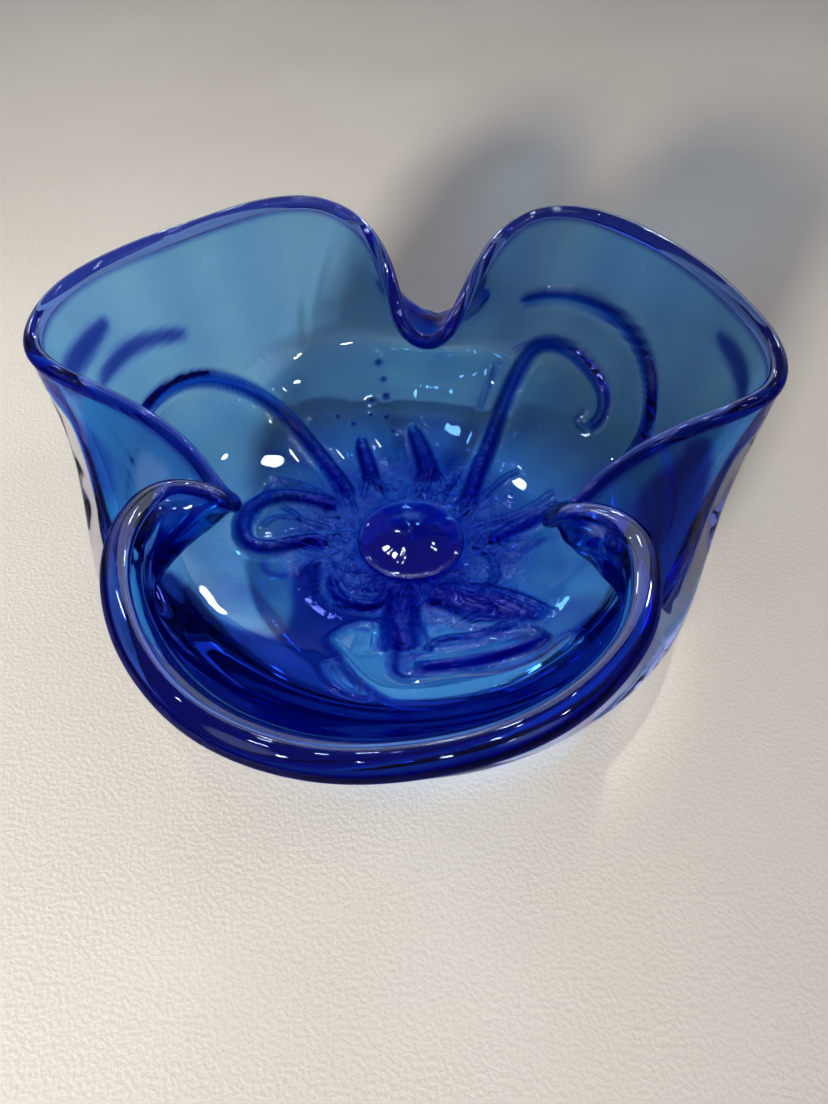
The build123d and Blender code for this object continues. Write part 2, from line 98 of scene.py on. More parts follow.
# Middle of the lip: distance along it, x, y, z, and the wall's bearing in degrees.
RIM_LENGTH = 682.69
RIM = table("""
0.0 5.36 33.54 70.60 82.4, 2.9 8.05 34.17 71.32 80.8, 6.1 10.25 36.06 72.56 79.1,
10.0 12.23 39.17 73.95 76.9, 17.3 15.14 45.44 76.20 72.9, 30.3 20.30 56.90 79.60 65.7,
43.5 26.89 67.92 82.48 58.4, 56.4 37.24 74.42 85.20 51.2, 69.4 49.32 70.93 87.53 44.0,
82.6 58.55 61.78 89.09 36.7, 95.8 66.28 51.16 90.16 29.4, 109.0 72.99 39.84 90.78 22.1,
122.1 78.40 27.83 90.99 14.8, 135.3 82.57 15.34 90.86 7.5, 148.5 84.72 2.38 90.28 0.2,
161.5 81.16 -9.60 89.17 -7.0, 174.6 69.99 -15.89 86.81 -14.2, 187.8 57.94 -19.19 82.82 -21.5,
200.7 46.97 -23.13 77.35 -28.6, 207.7 41.59 -25.91 73.74 -32.5, 211.7 38.82 -27.73 71.66 -34.6,
214.9 36.31 -29.46 70.55 -36.3, 218.0 33.93 -31.30 70.88 -37.9, 221.1 32.26 -33.12 72.65 -39.5,
224.2 31.79 -34.82 75.16 -41.1, 227.3 32.69 -36.42 77.68 -42.7, 230.7 34.96 -37.95 79.65 -44.4,
235.2 38.91 -39.62 80.93 -46.6, 245.0 45.48 -46.34 82.49 -51.3, 258.1 46.00 -59.27 83.99 -57.6,
271.3 42.37 -71.76 85.33 -63.9, 284.5 34.98 -82.54 86.56 -70.2, 297.6 25.24 -91.30 87.65 -76.5,
310.8 13.57 -97.30 88.48 -82.8, 324.0 0.83 -100.49 88.93 -89.1,
337.2 -12.31 -100.96 88.98 -95.4, 350.3 -25.04 -97.76 88.67 -101.7,
363.5 -36.38 -91.24 88.00 -108.0, 376.7 -45.51 -81.82 87.11 -114.3,
389.8 -52.31 -70.62 86.06 -120.6, 403.0 -56.65 -58.26 84.89 -126.9,
416.2 -57.55 -45.24 83.56 -133.2, 429.2 -52.18 -33.93 81.84 -139.5,
437.2 -44.68 -32.75 80.29 -143.3, 441.2 -41.22 -32.69 78.41 -145.3,
444.4 -39.80 -31.53 75.85 -146.9, 447.5 -39.92 -29.68 73.37 -148.5,
450.7 -41.02 -27.47 71.44 -150.1, 453.8 -42.71 -25.07 70.33 -151.7,
457.0 -44.70 -22.63 70.32 -153.4, 460.3 -46.78 -20.26 71.47 -155.2,
464.6 -49.31 -17.58 73.57 -157.5, 473.4 -55.53 -12.91 77.68 -162.3,
486.6 -66.49 -7.71 82.72 -169.5, 499.7 -78.33 -3.29 86.42 -176.8,
512.7 -88.21 4.20 88.63 -183.9, 525.8 -90.46 16.93 89.81 -191.1,
538.9 -86.58 29.36 90.64 -198.3, 552.1 -78.65 39.80 90.98 -205.6,
565.3 -69.12 48.91 90.89 -212.9, 578.5 -59.60 58.01 90.35 -220.1,
591.6 -50.24 67.25 89.37 -227.4, 604.8 -40.14 75.54 87.96 -234.6,
617.9 -28.09 79.79 85.92 -241.8, 630.9 -16.68 74.91 83.41 -249.0,
644.0 -9.77 64.15 80.85 -256.2, 657.2 -5.96 51.89 78.01 -263.5,
666.0 -4.14 43.55 75.78 -268.3, 670.3 -3.09 39.63 74.57 -270.7,
673.7 -1.78 36.68 73.50 -272.6, 676.8 0.05 34.42 72.37 -274.3,
679.8 2.55 33.38 71.21 -275.9""", 5)
RIM_ALONG, RIM_POINTS, RIM_BEARING = RIM[:, 0], RIM[:, 1:4], np.radians(RIM[:, 4])

# Cobalt cords in the lining: x, y, z, the surface's direction x, y, z, and the radius.
CORDS = {name: table(text, 7) for name, text in {
    "cord_back_left": """
-18.25 15.99 26.96 0.090 -0.088 0.992 1.50, -21.21 21.23 27.73 0.102 -0.106 0.989 1.50,
-24.51 26.18 28.73 0.127 -0.143 0.981 1.50, -28.06 30.92 30.01 0.155 -0.182 0.971 1.50,
-31.78 35.51 31.60 0.187 -0.227 0.956 1.50, -35.61 39.92 33.54 0.221 -0.274 0.936 1.50,
-39.75 43.65 35.90 0.282 -0.347 0.894 1.50, -44.35 46.15 38.74 0.368 -0.426 0.827 1.50,
-49.22 47.13 42.02 0.480 -0.502 0.720 1.50, -54.11 46.52 45.54 0.582 -0.539 0.609 1.48,
-58.82 44.51 48.93 0.669 -0.543 0.509 1.45, -63.15 41.29 51.81 0.746 -0.533 0.399 1.40,
-66.91 37.06 53.83 0.806 -0.504 0.311 1.34, -70.07 32.08 54.93 0.838 -0.439 0.325 1.26,
-72.70 26.59 55.22 0.867 -0.365 0.341 1.18, -74.85 20.88 54.84 0.879 -0.325 0.348 1.10""",
    "cord_back_right": """
16.83 12.00 26.66 -0.077 -0.069 0.995 1.50, 18.44 17.95 27.21 -0.091 -0.093 0.991 1.50,
20.27 23.68 28.01 -0.114 -0.132 0.985 1.50, 22.23 29.24 29.12 -0.138 -0.180 0.974 1.50,
24.27 34.70 30.61 -0.167 -0.235 0.958 1.50, 26.33 40.09 32.53 -0.205 -0.302 0.931 1.50,
28.40 45.36 34.96 -0.251 -0.381 0.890 1.50, 30.58 50.22 37.95 -0.298 -0.461 0.836 1.50,
32.99 54.38 41.58 -0.359 -0.551 0.753 1.50, 35.77 57.51 45.90 -0.436 -0.657 0.615 1.50,
39.21 58.84 50.45 -0.511 -0.727 0.459 1.49, 43.91 56.68 53.16 -0.580 -0.740 0.340 1.47,
48.54 52.78 53.58 -0.645 -0.678 0.352 1.44, 52.44 48.21 52.49 -0.706 -0.616 0.349 1.40,
55.60 43.11 50.87 -0.720 -0.533 0.445 1.36, 57.39 37.98 48.52 -0.711 -0.456 0.534 1.31,
56.90 33.57 44.74 -0.660 -0.388 0.643 1.26, 53.22 31.42 40.31 -0.626 -0.359 0.692 1.20""",
    "arc_back_right": """
33.13 63.90 63.19 -0.115 -0.976 0.188 1.10, 39.01 63.82 65.34 -0.225 -0.938 0.265 1.17,
44.51 62.17 66.84 -0.426 -0.834 0.350 1.23, 49.55 59.22 67.80 -0.588 -0.725 0.359 1.29,
54.06 55.26 68.32 -0.691 -0.637 0.341 1.33, 57.99 50.55 68.39 -0.755 -0.572 0.321 1.37,
61.30 45.42 67.85 -0.794 -0.523 0.310 1.39, 63.95 40.14 66.49 -0.822 -0.479 0.307 1.40,
65.90 35.01 64.13 -0.848 -0.430 0.310 1.39, 67.08 30.24 60.77 -0.869 -0.381 0.315 1.37,
67.39 25.94 56.64 -0.885 -0.337 0.320 1.33, 66.71 22.20 51.98 -0.862 -0.289 0.417 1.29,
64.97 19.06 47.11 -0.795 -0.235 0.559 1.23, 62.10 16.33 42.55 -0.692 -0.183 0.698 1.17,
58.07 13.77 38.89 -0.603 -0.149 0.784 1.10""",
    "petal_left": """
-21.15 11.90 26.99 0.098 -0.055 0.994 1.40, -26.71 13.57 27.68 0.128 -0.066 0.990 1.43,
-32.54 14.71 28.64 0.168 -0.077 0.983 1.45, -38.26 14.09 29.68 0.203 -0.077 0.976 1.48,
-43.29 11.13 30.59 0.233 -0.062 0.971 1.49, -46.76 6.35 31.22 0.254 -0.035 0.967 1.50,
-47.77 0.41 31.38 0.260 -0.002 0.966 1.50, -45.75 -4.82 30.91 0.247 0.025 0.969 1.49,
-40.83 -5.89 29.78 0.214 0.031 0.976 1.48, -34.98 -3.78 28.52 0.181 0.020 0.983 1.45,
-29.57 -1.79 27.62 0.140 0.010 0.990 1.43, -23.63 -2.36 26.93 0.109 0.008 0.994 1.40""",
    "rib_front": """
-1.78 -19.32 26.61 0.006 0.069 0.998 1.50, -2.25 -24.83 27.08 0.009 0.109 0.994 1.85,
-2.73 -30.32 27.84 0.012 0.161 0.987 2.00, -2.94 -35.76 28.87 0.013 0.211 0.977 2.06,
-2.59 -41.16 30.16 0.009 0.246 0.969 2.20""",
    "blade_front": """
3.71 -20.07 26.68 -0.018 0.074 0.997 1.30, 9.28 -21.46 26.92 -0.040 0.090 0.995 1.80,
14.85 -22.91 27.39 -0.075 0.114 0.991 2.17, 20.34 -24.53 28.13 -0.117 0.140 0.983 2.30,
25.67 -26.43 29.18 -0.161 0.164 0.973 2.14, 30.76 -28.72 30.57 -0.206 0.190 0.960 1.70,
35.52 -31.52 32.35 -0.256 0.226 0.940 1.10""",
    "crescent_front": """
0.73 -47.43 32.08 -0.025 0.336 0.942 1.50, 6.69 -47.09 32.18 -0.058 0.335 0.941 1.50,
12.65 -46.41 32.45 -0.103 0.342 0.934 1.50, 18.55 -45.31 32.84 -0.150 0.343 0.927 1.50,
24.30 -43.68 33.32 -0.199 0.342 0.919 1.43, 29.83 -41.45 33.85 -0.249 0.335 0.909 1.25,
35.06 -38.54 34.38 -0.288 0.326 0.900 1.00""",
    "strand_right": """
21.66 -2.15 26.79 -0.090 0.006 0.996 1.20, 27.11 1.22 27.37 -0.135 -0.006 0.991 1.41,
32.79 4.04 28.36 -0.195 -0.024 0.980 1.50, 38.47 6.71 29.74 -0.246 -0.043 0.968 1.40,
43.93 9.62 31.47 -0.303 -0.064 0.951 1.15""",
    "swirl_front": """
-21.82 -14.41 27.18 0.097 0.071 0.993 1.00, -20.17 -20.97 27.58 0.095 0.101 0.990 1.14,
-14.86 -24.79 27.56 0.070 0.121 0.990 1.20, -8.76 -23.75 27.12 0.037 0.103 0.994 1.14,
-5.66 -17.50 26.52 0.020 0.064 0.998 1.00""",
    "leg_back_left": """
-12.18 20.96 27.00 0.050 -0.093 0.994 1.70, -12.51 25.72 27.52 0.058 -0.125 0.990 1.56,
-13.64 30.30 28.28 0.070 -0.166 0.984 1.50, -14.96 34.82 29.23 0.080 -0.202 0.976 1.32,
-15.82 39.38 30.33 0.084 -0.230 0.970 0.90""",
    "leg_back_right": """
5.55 22.76 26.93 -0.024 -0.101 0.995 2.10, 4.85 28.27 27.57 -0.026 -0.145 0.989 1.68,
3.61 33.64 28.47 -0.025 -0.195 0.981 1.50, 1.95 38.87 29.58 -0.018 -0.236 0.972 1.29,
0.00 43.94 30.90 -0.010 -0.272 0.962 0.80""",
}.items()}
# How many times wider than round a cord is; 1 where not listed.
CORD_SPREAD = {"blade_front": 1.9, "rib_front": 1.55, "leg_back_right": 1.25}

# Thin strands raised in the lining itself, each ending in a semicolon:
# radius and height as a share of it, a colon, then x, y, z of its points.
STRANDS = """
1.00 1.00: -48.2 -3.2 31.5, -47.6 -0.6 31.3, -46.8 1.8 31.1, -45.9 4.2 30.9, -45.0 6.5 30.8,
-44.1 8.9 30.7, -43.4 11.5 30.6, -42.6 14.1 30.7, -41.6 16.4 30.6, -40.0 17.9 30.4,
-37.9 18.8 30.1, -35.8 19.1 29.7, -33.7 18.9 29.2, -31.6 18.4 28.8, -29.7 17.6 28.4,
-27.7 16.6 28.0, -25.8 15.6 27.7, -23.8 14.6 27.4, -21.8 13.7 27.1;
0.60 1.00: -42.7 1.1 30.1, -41.5 3.6 29.9, -40.0 5.2 29.6, -38.2 6.1 29.2, -36.2 6.4 28.8,
-34.0 6.3 28.4, -31.8 5.8 28.0, -29.6 5.2 27.7, -27.5 4.7 27.4, -25.4 4.3 27.1, -23.6 4.3 27.0;
0.60 1.00: -40.5 -3.5 29.6, -38.3 -4.3 29.2, -36.1 -4.3 28.8, -34.0 -3.8 28.4, -31.9 -3.0 28.0,
-29.8 -2.1 27.7, -27.7 -1.4 27.4, -25.5 -1.3 27.1, -23.2 -1.9 26.9;
0.60 1.00: -42.4 20.2 31.2, -40.3 20.4 30.7, -38.2 20.3 30.3, -36.1 20.1 29.8, -34.0 19.6 29.4,
-32.0 19.1 29.0, -29.9 18.4 28.5, -27.9 17.6 28.2, -25.9 16.8 27.8;
0.70 1.20: -39.2 10.9 29.6, -37.2 10.0 29.2, -35.4 8.8 28.8, -33.6 7.5 28.4, -31.8 6.0 28.0;
0.60 1.10: -24.5 -15.2 27.5, -24.0 -18.1 27.7, -22.9 -20.3 27.8, -21.3 -22.0 27.8,
-19.5 -23.1 27.8, -17.5 -23.9 27.7, -15.5 -24.5 27.6, -13.6 -24.9 27.5, -11.6 -25.0 27.4,
-9.6 -24.8 27.3, -7.6 -24.3 27.1, -5.7 -23.4 27.0, -4.0 -22.1 26.8, -2.6 -20.2 26.7,
-1.5 -17.9 26.5;
0.50 1.10: -22.4 -13.8 27.2, -21.7 -16.6 27.3, -20.4 -18.6 27.4, -18.7 -19.9 27.3,
-16.8 -20.9 27.3, -14.9 -21.4 27.2, -12.9 -21.7 27.1, -11.0 -21.7 27.0, -8.9 -21.4 26.9,
-7.0 -20.8 26.8, -5.3 -19.6 26.7, -4.1 -17.7 26.5;
0.50 1.10: -19.7 -12.5 26.9, -18.8 -15.0 27.0, -17.3 -16.6 27.0, -15.5 -17.6 26.9,
-13.5 -18.2 26.8, -11.6 -18.5 26.8, -9.7 -18.4 26.7, -7.9 -17.6 26.6, -6.2 -16.1 26.5;
0.80 1.10: -25.8 -8.5 27.3, -26.9 -10.9 27.5, -27.3 -13.6 27.8, -27.1 -16.3 27.9,
-26.4 -18.9 28.1, -25.3 -21.2 28.2, -23.7 -22.8 28.2, -21.9 -24.0 28.1, -20.0 -24.9 28.0,
-18.0 -25.5 27.9, -16.2 -26.0 27.8;
0.80 1.20: -29.7 -15.4 28.2, -28.7 -13.0 27.9, -27.5 -10.8 27.6, -26.1 -8.9 27.4;
0.55 1.30: 8.2 -15.0 26.5, 10.0 -16.0 26.6, 11.8 -17.1 26.7, 13.5 -18.1 26.9, 15.3 -19.2 27.1,
17.1 -20.2 27.3, 18.8 -21.3 27.6, 20.6 -22.4 27.9, 22.3 -23.5 28.2, 24.0 -24.6 28.6,
25.7 -25.7 29.1, 27.3 -26.9 29.6, 29.0 -28.1 30.1, 30.6 -29.3 30.6, 32.2 -30.5 31.3,
33.7 -31.9 31.9;
0.60 1.20: 4.0 -17.2 26.5, 5.9 -18.1 26.6, 7.7 -19.0 26.7, 9.5 -19.9 26.8, 11.3 -20.9 27.0,
13.1 -21.9 27.2, 14.9 -23.0 27.4, 16.7 -24.0 27.7, 18.4 -25.1 28.0, 20.2 -26.2 28.4,
21.9 -27.3 28.8, 23.6 -28.4 29.2, 25.3 -29.5 29.7, 27.0 -30.5 30.2, 28.6 -31.6 30.7;
0.70 1.00: 10.8 -19.5 26.8, 12.9 -18.8 26.9, 14.9 -18.4 27.0, 16.9 -18.4 27.1, 18.8 -18.8 27.3,
20.7 -19.4 27.5, 22.6 -20.2 27.8, 24.4 -21.1 28.2, 26.2 -22.2 28.6, 27.9 -23.4 29.1,
29.6 -24.6 29.6, 31.3 -25.9 30.1, 33.0 -27.1 30.7, 34.6 -28.3 31.4, 36.2 -29.5 32.1,
37.9 -30.6 32.9;
0.85 1.10: 4.0 -41.2 30.2, 5.3 -39.2 29.8, 6.9 -37.8 29.5, 8.7 -37.1 29.4, 10.5 -36.7 29.5,
12.5 -36.5 29.6, 14.4 -36.3 29.7, 16.3 -36.0 29.8, 18.1 -35.6 29.9, 20.0 -35.2 30.1,
21.8 -34.7 30.2, 23.6 -34.1 30.4, 25.4 -33.5 30.5, 27.3 -32.8 30.7, 29.1 -32.1 30.9;
0.55 1.20: 3.1 -23.7 27.0, 5.1 -23.8 27.0, 7.1 -24.2 27.1, 9.0 -25.0 27.3, 10.8 -26.0 27.5,
12.5 -27.4 27.8, 14.2 -28.8 28.2, 15.8 -30.1 28.5, 17.6 -30.9 28.9, 19.6 -30.8 29.1;
0.50 1.20: 8.7 -13.2 26.4, 10.5 -14.4 26.5, 12.4 -15.2 26.6, 14.4 -15.4 26.7, 16.5 -15.0 26.8;
0.80 1.10: 13.2 10.0 26.4, 14.3 12.4 26.6, 15.2 14.8 26.7, 16.2 17.3 27.0, 17.0 19.8 27.2,
17.9 22.3 27.6, 18.7 24.7 28.0, 19.5 27.2 28.4, 20.2 29.6 28.9, 20.9 32.0 29.5;
0.70 1.10: 15.1 8.7 26.5, 16.7 10.6 26.6, 18.4 12.6 26.8, 20.1 14.5 27.1, 21.9 16.3 27.4,
23.6 18.1 27.8, 25.4 19.8 28.2, 27.2 21.3 28.7, 29.2 22.7 29.2, 31.2 23.7 29.8, 33.3 24.5 30.3;
0.80 1.00: 17.1 4.3 26.5, 19.2 5.0 26.6, 21.3 5.6 26.8, 23.4 6.2 27.0, 25.5 6.8 27.3,
27.6 7.3 27.6, 29.6 8.0 27.9, 31.7 8.7 28.3, 33.7 9.5 28.8, 35.6 10.4 29.3, 37.5 11.4 29.8,
39.4 12.5 30.4, 41.2 13.6 31.0, 43.0 14.7 31.6;
0.80 1.00: 17.0 -3.4 26.5, 18.3 -0.8 26.5, 19.8 1.1 26.6, 21.6 2.5 26.8, 23.6 3.4 27.0,
25.6 4.0 27.2, 27.7 4.5 27.5, 29.8 4.9 27.8, 31.9 5.4 28.2, 33.9 6.0 28.6, 35.9 6.5 29.1,
37.9 7.0 29.6, 39.9 7.6 30.1, 41.8 8.0 30.7, 43.8 8.4 31.3, 45.8 8.6 32.0, 47.7 8.8 32.8;
0.50 1.00: 19.9 -2.4 26.6, 22.0 -1.9 26.8, 24.0 -1.5 27.0, 26.1 -1.2 27.2, 28.1 -1.1 27.5,
30.1 -1.1 27.8, 32.2 -1.2 28.2, 34.2 -1.4 28.6;
0.80 1.10: 19.3 -3.5 26.6, 20.9 -5.2 26.8, 22.4 -7.4 27.0, 23.5 -10.0 27.2, 23.8 -12.8 27.4,
23.2 -15.6 27.5, 21.8 -17.9 27.5, 20.0 -19.5 27.5, 17.9 -19.9 27.3;
0.50 1.10: 20.6 -10.4 26.9, 22.4 -12.5 27.2, 22.0 -15.7 27.4, 19.7 -16.3 27.2;
0.90 0.90: -12.1 28.0 27.8, -11.9 25.1 27.4, -10.7 22.6 27.1, -8.9 20.9 26.8, -6.7 20.3 26.7,
-4.5 21.2 26.8;
0.70 1.00: -22.7 -47.1 33.5, -21.9 -49.8 34.4, -20.8 -52.1 35.2, -19.4 -54.0 35.9,
-17.8 -55.6 36.5, -16.2 -56.9 37.0, -14.4 -58.0 37.5, -12.7 -58.7 37.7, -10.9 -59.2 37.9,
-9.3 -59.5 38.0;
0.50 1.00: -18.4 -45.9 32.5, -18.7 -48.8 33.6, -18.2 -51.4 34.5, -16.9 -53.6 35.4,
-14.9 -55.5 36.1, -13.1 -56.3 36.3, -12.8 -54.6 35.5, -13.9 -51.4 34.1, -15.6 -48.4 33.1,
-16.8 -47.6 32.9;
0.50 1.20: -22.8 -8.3 27.0, -21.1 -10.1 26.9, -19.2 -11.4 26.8, -17.1 -12.1 26.7,
-15.0 -12.3 26.6, -12.9 -12.2 26.5, -10.8 -11.8 26.4;
0.50 1.30: -2.1 -15.5 26.4, -1.7 -18.2 26.5, -2.1 -21.1 26.7, -2.7 -23.9 27.0, -3.3 -26.6 27.3;
0.50 1.30: -7.2 -23.7 27.1, -5.3 -25.4 27.2, -3.9 -27.5 27.4, -3.0 -30.2 27.8;
0.50 1.00: -0.7 -17.0 26.5, -0.3 -19.9 26.6, -0.1 -22.7 26.9, -0.1 -25.5 27.2, -0.3 -28.4 27.5,
-0.6 -31.3 28.0;
0.50 1.10: -19.6 11.9 26.9, -20.8 14.6 27.1, -22.0 17.2 27.4, -23.2 19.7 27.8, -24.6 22.2 28.2,
-26.0 24.5 28.7, -27.5 26.8 29.2, -29.0 28.9 29.8, -30.6 31.0 30.5;
0.60 1.10: -16.2 9.4 26.6, -16.8 12.1 26.7, -17.6 14.7 26.9, -18.4 17.3 27.1, -19.4 19.7 27.4,
-20.5 22.0 27.7, -21.7 24.2 28.1, -23.1 26.3 28.6;
0.60 1.00: -14.7 15.3 26.7, -14.1 18.3 26.9, -13.8 21.3 27.1, -13.8 24.3 27.4, -14.2 27.2 27.8,
-14.9 30.1 28.3;
0.60 1.00: 2.8 15.6 26.4, 4.0 18.5 26.6, 5.1 21.5 26.8, 6.2 24.4 27.1, 7.0 27.4 27.5,
7.8 30.4 28.0;
0.50 1.10: 8.8 13.6 26.4, 10.0 16.2 26.6, 11.2 18.8 26.8, 12.5 21.3 27.1, 13.8 23.8 27.4,
15.1 26.2 27.8;
0.60 1.10: 53.3 31.3 40.4, 51.4 33.6 40.1, 50.7 35.5 40.5, 51.3 36.9 41.6, 53.1 37.8 43.5;
0.50 1.00: 28.5 60.3 44.3, 27.5 59.0 42.8, 26.5 57.6 41.3, 25.6 56.1 39.9, 24.7 54.5 38.6,
23.8 52.8 37.4, 23.0 51.0 36.2, 22.2 49.1 35.1, 21.4 47.1 34.0;
0.50 0.90: 32.1 61.0 46.8, 33.9 61.2 48.3, 35.8 60.6 49.8, 37.8 59.8 50.9, 39.9 58.8 51.6,
41.9 57.7 52.2, 43.9 56.3 52.5, 45.9 54.8 52.6, 47.7 53.2 52.6, 49.4 51.5 52.5, 50.9 49.8 52.2;
"""

# Plan outlines (x, y) of patches on the lining's inner face, all in the front half.
PATCHES = {name: table(text, 2) for name, text in {
    # painted shade: darkens the front inner wall to navy
    "painted_navy_shade": """-62 -23, -52 -33, -43 -37.5, -33 -38.5, -31 -29, -32 -21, -30 -11, -26 -11,
-24 -23, -17 -27, -9 -29, -3 -37, -2 -50, 1 -53, 15 -52, 27 -49, 38 -41.5, 47 -34, 60 -42,
75 -60, 60 -105, 0 -115, -60 -105, -75 -60, -70 -30""",
    "pale": """-21 -37.5, -17 -32.5, -13 -30.5, -8 -30.5, -5 -34, -4 -39, -4.5 -44, -4.5 -49,
-2 -51.5, 7 -50.5, 22 -49.5, 32 -46, 40 -40, 43 -44, 35 -52, 25 -58, 16 -60, 5 -61, -4 -60,
-10 -55, -15 -49, -18 -43""",
    "eye": "-21.5 -46, -18 -44.5, -14 -49, -10 -55, -9 -58.5, -14 -58.5, -18 -55, -20.5 -51",
    "triangle": "3 -24, 5 -24, 16 -31, 23 -32, 25 -34, 15 -35, 7 -37, 4 -35",
    "glow": "-1 -44, 8 -40, 18 -38, 31 -35, 34 -41, 22 -45, 7 -48, 0 -49",
}.items()}

# Darker streaks on the inner face: points, half width, strength.
DARK_STREAKS = [
    ([(-77, -2, 84), (-84, 16, 78), (-81, 29, 79)], 3.0, 1.0),
    ([(-82, 18, 69), (-77, 31, 70), (-72, 39, 68), (-65, 44, 65.5)], 2.0, 1.0),
    ([(78, 18, 83), (80.5, 6, 81.5), (79.5, -1, 79)], 2.4, 0.9),
    ([(64.6, -17.2, 78), (62.9, -21.8, 70.6), (60.1, -27.4, 64.5), (57.5, -33.5, 58.7),
      (55.4, -38.9, 54)], 6.5, 0.9),
    ([(58, -21.3, 73.6), (55.5, -26.2, 68), (53.7, -32, 62)], 4.5, 0.9),
    ([(-77.6, -4, 73), (-75.1, -9, 67.7), (-71.6, -15.3, 63.7)], 5.0, 0.35),
]

# Seeds and flecks caught in the back wall: size, x, y, z; and a pale cloud about them.
SPECKS = table("""
1.3 -10.6 63.5 40.9, 1.2 -9.0 59.2 37.5, 1.5 -8.1 53.7 34.6, 1.1 -12.6 52.1 34.2,
1.0 -7.8 46.9 31.9, 0.8 -5.7 42.0 30.4, 0.7 -12.8 47.4 32.4, 0.9 -18.3 43.9 31.8,
0.8 -23.4 45.9 33.1""", 4)
CLOUD_AT, CLOUD_R = np.array([-6.0, 60.5, 38.6]), 2.6


# ------------------------------------------------------------------ curves
def clamp(values):
    return np.clip(values, 0, 1)


def ease(values):
    """0 to 1 with a soft start and end."""
    share = clamp(values)
    return share * share * (3 - 2 * share)


def bell(values):
    return np.exp(-values ** 2 / 2)


def soft_step(values):
    return 1 / (1 + np.exp(-np.clip(values, -60, 60)))


def unit(vectors):
    return vectors / np.linalg.norm(vectors, axis=1)[:, None]


def cubic(start, end, bend_start, bend_end, width, t):
    """One spline span, from its end values and second derivatives."""
    slope = (end - start) / width - width * (2 * bend_start + bend_end) / 6
    return start + t * slope + t * t * bend_start / 2 + t ** 3 * (bend_end - bend_start) / (6 * width)


def natural_spline(knots, values, wanted):
    """Natural cubic spline through columns of values at the knots."""
    values = values.reshape(len(knots), -1)
    count = len(knots)
    gap = np.diff(knots)
    matrix = np.zeros((count, count))
    right = np.zeros_like(values)
    matrix[0, 0] = matrix[-1, -1] = 1
    slope = np.diff(values, axis=0) / gap[:, None]
    for i in range(1, count - 1):
        matrix[i, i - 1:i + 2] = gap[i - 1], 2 * (gap[i - 1] + gap[i]), gap[i]
        right[i] = 6 * (slope[i] - slope[i - 1])
    bend = np.linalg.solve(matrix, right)
    i = np.clip(np.searchsorted(knots, wanted, side="right") - 1, 0, count - 2)
    t = (wanted - knots[i])[:, None]
    return cubic(values[i], values[i + 1], bend[i], bend[i + 1], gap[i][:, None], t)


def rim_spline(values, wanted):
    """Closed cubic spline through columns of values at the lip's stations."""
    count = len(RIM_ALONG)
    gap = np.diff(np.r_[RIM_ALONG, RIM_ALONG[0] + RIM_LENGTH])
    gap_before = np.roll(gap, 1)
    matrix = np.zeros((count, count))
    for i in range(count):
        matrix[i, i] = 2 * (gap[i] + gap_before[i])
        matrix[i, (i + 1) % count] += gap[i]
        matrix[i, (i - 1) % count] += gap_before[i]
    slope = (np.roll(values, -1, 0) - values) / gap[:, None]
    bend = np.linalg.solve(matrix, 6 * (slope - np.roll(slope, 1, 0)))
    wanted = np.mod(wanted - RIM_ALONG[0], RIM_LENGTH) + RIM_ALONG[0]
    i = np.clip(np.searchsorted(RIM_ALONG, wanted, side="right") - 1, 0, count - 1)
    j = (i + 1) % count
    t = (wanted - RIM_ALONG[i])[:, None]
    return cubic(values[i], values[j], bend[i], bend[j], gap[i][:, None], t)


def rim_at(along):
    """The lip's points and bearings at distances along it."""
    turn = 2 * math.pi / RIM_LENGTH
    lean = rim_spline((RIM_BEARING + turn * RIM_ALONG)[:, None], along)[:, 0]
    return rim_spline(RIM_POINTS, along), lean - turn * along


def distances(points):
    """How far along its path each point lies."""
    return np.r_[0, np.cumsum(np.linalg.norm(np.diff(points, axis=0), axis=1))]


def resample(rows, per_mm, extra):
    """Evenly spaced rows on a spline through rows that begin x, y, z; and their distances."""
    along = distances(rows[:, :3])
    even = np.linspace(0, along[-1], int(along[-1] * per_mm) + extra)
    return natural_spline(along, rows, even), even


def turning(loop, reach, width, step=None):
    """How sharply a closed loop turns per mm, blurred over neighbouring points."""
    chords = np.roll(loop, -1, 0) - loop
    lengths = np.linalg.norm(chords, axis=1)
    chords /= lengths[:, None]
    rate = np.linalg.norm(chords - np.roll(chords, 1, 0), axis=1) / (step or lengths)
    kernel = bell(np.arange(-reach, reach + 1) / width)
    return np.convolve(np.r_[rate[-reach:], rate, rate[:reach]], kernel / kernel.sum(), "valid")


# -------------------------------------------------------------------- wall
def swell(bearing, share):
    return SIDE_SWELL * share * ((1 + np.cos(bearing - math.radians(SIDE_SWELL_DEG))) / 2) ** 2


def wall_middle(rim, bearing, height):
    fold = height ** FOLD_POWER
    radius = WALL_R + WALL_GROW * height + swell(bearing, 1.0)
    middle = np.empty_like(rim)
    middle[:, 0] = (1 - fold) * radius * np.cos(bearing) + fold * rim[:, 0]
    middle[:, 1] = (1 - fold) * radius * np.sin(bearing) + fold * rim[:, 1]
    middle[:, 2] = WALL_Z + (rim[:, 2] - WALL_Z) * height
    return middle


class Wall:
    """The wall's middle at the chosen distances along the lip."""

    def __init__(self, along):
        self.rim, self.bearing = rim_at(along)
        self.before = rim_at(along - 0.05)
        self.after = rim_at(along + 0.05)

    def at(self, height):
        """Points, outward directions and upward directions at a height from 0 to 1."""
        along = unit(wall_middle(*self.after, height) - wall_middle(*self.before, height))
        rise = (wall_middle(self.rim, self.bearing, height + 1e-3)
                - wall_middle(self.rim, self.bearing, max(height - 1e-3, 0)))
        outward = unit(np.cross(rise, along))
        upward = np.cross(along, outward)
        upward *= np.sign((upward * rise).sum(1))[:, None]
        return wall_middle(self.rim, self.bearing, height), outward, upward


def outer_half(height):
    return WALL_TOP_HALF + (WALL_LOW_OUT - WALL_TOP_HALF) * (1 - height) ** 1.3


